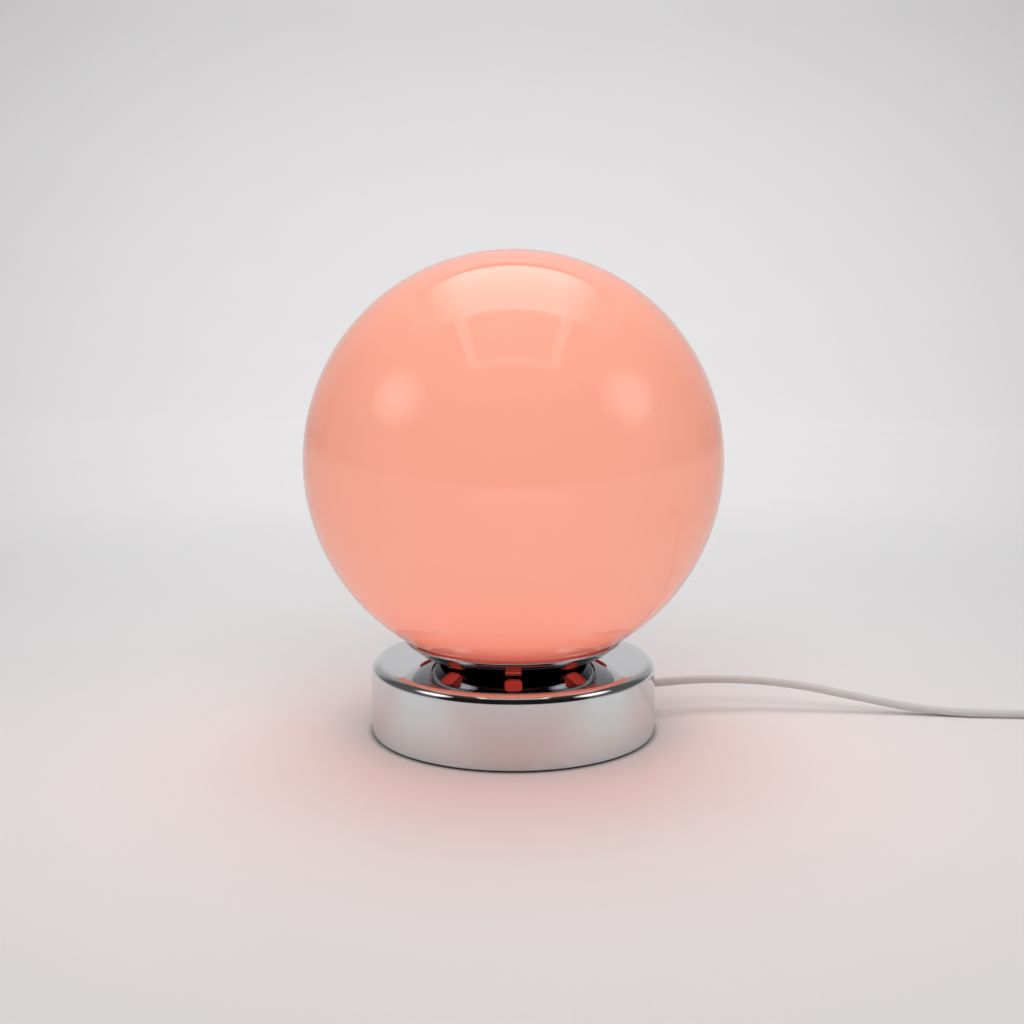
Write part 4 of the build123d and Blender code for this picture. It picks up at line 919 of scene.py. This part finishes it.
class LAMP_OT_drum(bpy.types.Operator):
    """Drum spun from one chromed sheet, with a hole for the bush"""

    bl_idname = "lamp.drum"
    bl_label = "Chrome Drum"

    def execute(self, context):
        sizes = context.scene.lamp_base
        radius, top, wall, edge = sizes.diameter / 2, sizes.height, sizes.wall, sizes.edge
        hole, hem = sizes.tube_hole / 2, 0.25 * MM
        profile = [(hole, top - wall), (hole, top)]
        profile += [(hole + (radius - edge - hole) * i / 12, top) for i in range(1, 12)]
        profile += arc_points((radius - edge, top - edge), edge, 90, 0, 14)
        side = top - edge - sizes.skirt_gap
        profile += [(radius, sizes.skirt_gap + side * i / 8) for i in range(7, 0, -1)]
        profile += arc_points((radius - hem, sizes.skirt_gap + hem), hem, 0, -90, 3)
        profile += arc_points((radius - wall + hem, sizes.skirt_gap + hem), hem, -90, -180, 3)
        profile += arc_points((radius - edge, top - edge), edge - wall, 0, 90, 10)
        mesh = grown(
            "chrome_drum",
            pierced_sheet_tree(),
            {
                "Count": 1,
                "Width": sizes.bush_hole,
                "Length": sizes.bush_hole,
                "Corner": sizes.bush_hole / 2.001,
                "Depth": 6 * wall,
                "Radius": radius,
                "Height": sizes.bush_height,
                "Lean": pi / 2,
                "Turn": sizes.bush_turn,
                "Material": finish_for("base_chrome"),
            },
            turned_mesh("drum_sheet", profile, SMOOTH_STEPS),
        )
        drum = as_piece("chrome_drum", mesh, None, "base", ("base_housing",), 30)
        return {"FINISHED"}


class LAMP_OT_cup(bpy.types.Operator):
    """Chrome cup with a ring of windows, in which the globe rests, and its silicone ring"""

    bl_idname = "lamp.cup"
    bl_label = "Vented Cup"

    def execute(self, context):
        sizes, base = context.scene.lamp_globe, context.scene.lamp_base
        foot, rim = sizes.cup_foot / 2, sizes.cup_rim / 2
        low, rise, wall = base.height, sizes.cup_rise, sizes.cup_wall
        chord = hypot(rim - foot, rise)
        radius = (chord**2 / 4 + sizes.cup_bow**2) / (2 * sizes.cup_bow)
        slope = asin(rise / chord)
        centre = (
            (foot + rim) / 2 - (radius - sizes.cup_bow) * sin(slope),
            low + rise / 2 + (radius - sizes.cup_bow) * cos(slope),
        )
        lean = slope + asin(chord / 2 / radius)
        foot_lean = asin((foot - centre[0]) / radius)
        inner = radius - wall
        bend_lean = asin((foot - centre[0]) / inner)
        bend_height = centre[1] - inner * cos(bend_lean)
        floor_top, hole = low + wall, base.tube_hole / 2
        roll = 0.4 * wall
        rim_lean = lean - roll / radius
        profile = arc_points(centre, radius, degrees(foot_lean) - 90, degrees(rim_lean) - 90, 30)
        for distance, start in ((radius - roll, degrees(lean) - 90), (inner + roll, degrees(lean))):
            corner = (centre[0] + distance * sin(rim_lean), centre[1] - distance * cos(rim_lean))
            profile += arc_points(corner, roll, start, start + 90, 5)[1:]
        profile += arc_points(centre, inner, degrees(rim_lean) - 90, degrees(bend_lean) - 90, 30)[1:]
        profile += [(foot - (bend_height - floor_top), floor_top), (hole, floor_top)]
        profile += [(hole, low), (foot - 2 * MM, low)]
        vent_lean = asin((sizes.vent_radius - centre[0]) / radius)
        mesh = grown(
            "vented_cup",
            pierced_sheet_tree(),
            {
                "Count": sizes.vent_count,
                "Width": sizes.vent_width,
                "Length": sizes.vent_length,
                "Corner": sizes.vent_corner,
                "Depth": 3 * wall,
                "Radius": sizes.vent_radius,
                "Height": centre[1] - radius * cos(vent_lean),
                "Lean": vent_lean,
                "Turn": 0.0,
                "Material": finish_for("base_chrome"),
            },
            turned_mesh("cup_sheet", profile, CUP_STEPS),
        )
        cup = as_piece("vented_cup", mesh, None, "base", ("gallery_cup",), 30)
        fitted_piece("globe_seat_ring", "seat_bead")
        return {"FINISHED"}


def fitted_pieces(body, **names):
    """Fitted pieces for several nodes, given as node=piece name."""
    return [fitted_piece(node, name, body) for node, name in names.items()]


class LAMP_OT_switch(bpy.types.Operator):
    """Inline rocker switch on the flex"""

    bl_idname = "lamp.switch"
    bl_label = "Inline Switch"

    def execute(self, context):
        fitted_pieces("base", switch_base="switch_shell_lower", switch_cover="switch_shell_upper")
        fitted_pieces("rocker", switch_rocker="rocker_key")
        finish_nodes("switch_screws", "rocker_pin")
        shells = ["switch_shell_lower", "switch_shell_upper"]
        context.scene["on_the_flex"] = shells + ["rocker_key", "switch_screws", "rocker_pin"]
        return {"FINISHED"}


class LAMP_OT_plug(bpy.types.Operator):
    """Flat two-pin plug with its ribbed relief, beside the tied coil"""

    bl_idname = "lamp.plug"
    bl_label = "Plug and Tie"

    def execute(self, context):
        pieces = fitted_pieces(
            "base",
            coil_tie="paper_tie",
            plug_relief="ribbed_relief",
            plug_body="flat_plug",
            pin_sleeves="pin_collars",
            plug_pins="round_pins",
        )
        on_the_flex = list(context.scene["on_the_flex"])
        context.scene["on_the_flex"] = on_the_flex + [piece.name for piece in pieces]
        return {"FINISHED"}


class LAMP_OT_foot(bpy.types.Operator):
    """Ballast, cover plate with its screws, and foam pad under the drum"""

    bl_idname = "lamp.foot"
    bl_label = "Ballast and Pad"

    def execute(self, context):
        fitted_pieces(
            "base", ballast_disc="iron_ballast", base_pad="foam_pad", cover_plate="cover_disc"
        )
        finish_nodes("cover_screws")
        return {"FINISHED"}


class LAMP_OT_entry(bpy.types.Operator):
    """Bush, cord grip and the flex inside the drum"""

    bl_idname = "lamp.entry"
    bl_label = "Cord Entry"

    def execute(self, context):
        fitted_pieces(
            "base",
            cord_bush="entry_bush",
            cord_clamp="grip_bar",
            inner_flex="flex_inside",
            inner_cores="cores_inside",
        )
        finish_nodes("clamp_screws")
        return {"FINISHED"}


class LAMP_OT_holder(bpy.types.Operator):
    """Lamp holder on its threaded tube, with the clips that keep the globe upright"""

    bl_idname = "lamp.holder"
    bl_label = "Holder and Clips"

    def execute(self, context):
        fitted_pieces(
            "base",
            threaded_tube="lamp_tube",
            globe_clips="spring_clips",
            clip_carrier="clip_ring",
            holder_cap="holder_foot",
            holder_barrel="holder_shell",
            holder_insert="ceramic_insert",
            screw_shell="brass_shell",
        )
        finish_nodes("lower_nut", "upper_nut", "lower_washer", "upper_washer", "clip_rivets")
        finish_nodes("centre_contact", "contact_terminals")
        return {"FINISHED"}


class LAMP_OT_bulb(bpy.types.Operator):
    """Globe-shaped LED bulb"""

    bl_idname = "lamp.bulb"
    bl_label = "Bulb"

    def execute(self, context):
        fitted_pieces(
            "bulb",
            bulb_cap="threaded_cap",
            bulb_insulator="cap_insulator",
            bulb_tip_contact="solder_tip",
            bulb_body="bulb_neck",
            bulb_dome="opal_dome",
            led_board="chip_board",
        )
        return {"FINISHED"}


# ---------------------------------------------------------------- the add-on
STEPS = (
    LAMP_OT_studio,
    LAMP_OT_switch,
    LAMP_OT_plug,
    LAMP_OT_flex,
    LAMP_OT_globe,
    LAMP_OT_drum,
    LAMP_OT_cup,
    LAMP_OT_foot,
    LAMP_OT_entry,
    LAMP_OT_holder,
    LAMP_OT_bulb,
)


class LAMP_PT_panel(bpy.types.Panel):
    """Steps that dress the lamp"""

    bl_label = "Glass Globe Table Lamp"
    bl_idname = "LAMP_PT_panel"
    bl_space_type = "VIEW_3D"
    bl_region_type = "UI"
    bl_category = "Lamp"

    def draw(self, context):
        for step in STEPS:
            self.layout.operator(step.bl_idname)


SETTINGS = {
    "lamp_globe": GlobeSizes,
    "lamp_base": BaseSizes,
    "lamp_flex": FlexSizes,
    "lamp_colours": Colours,
    "lamp_studio": StudioSettings,
}


def register():
    """Register the settings, the operators and the panel."""
    for name, group in SETTINGS.items():
        bpy.utils.register_class(group)
        setattr(bpy.types.Scene, name, bpy.props.PointerProperty(type=group))
    for kind in (*STEPS, LAMP_PT_panel):
        bpy.utils.register_class(kind)


def unregister():
    """Undo register."""
    for kind in reversed((*STEPS, LAMP_PT_panel)):
        bpy.utils.unregister_class(kind)
    for name, group in SETTINGS.items():
        delattr(bpy.types.Scene, name)
        bpy.utils.unregister_class(group)


def main():
    """Dress the lamp step by step."""
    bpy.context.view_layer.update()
    register()
    for step in STEPS:
        group, name = step.bl_idname.split(".")
        getattr(getattr(bpy.ops, group), name)()


if __name__ == "__main__":
    main()
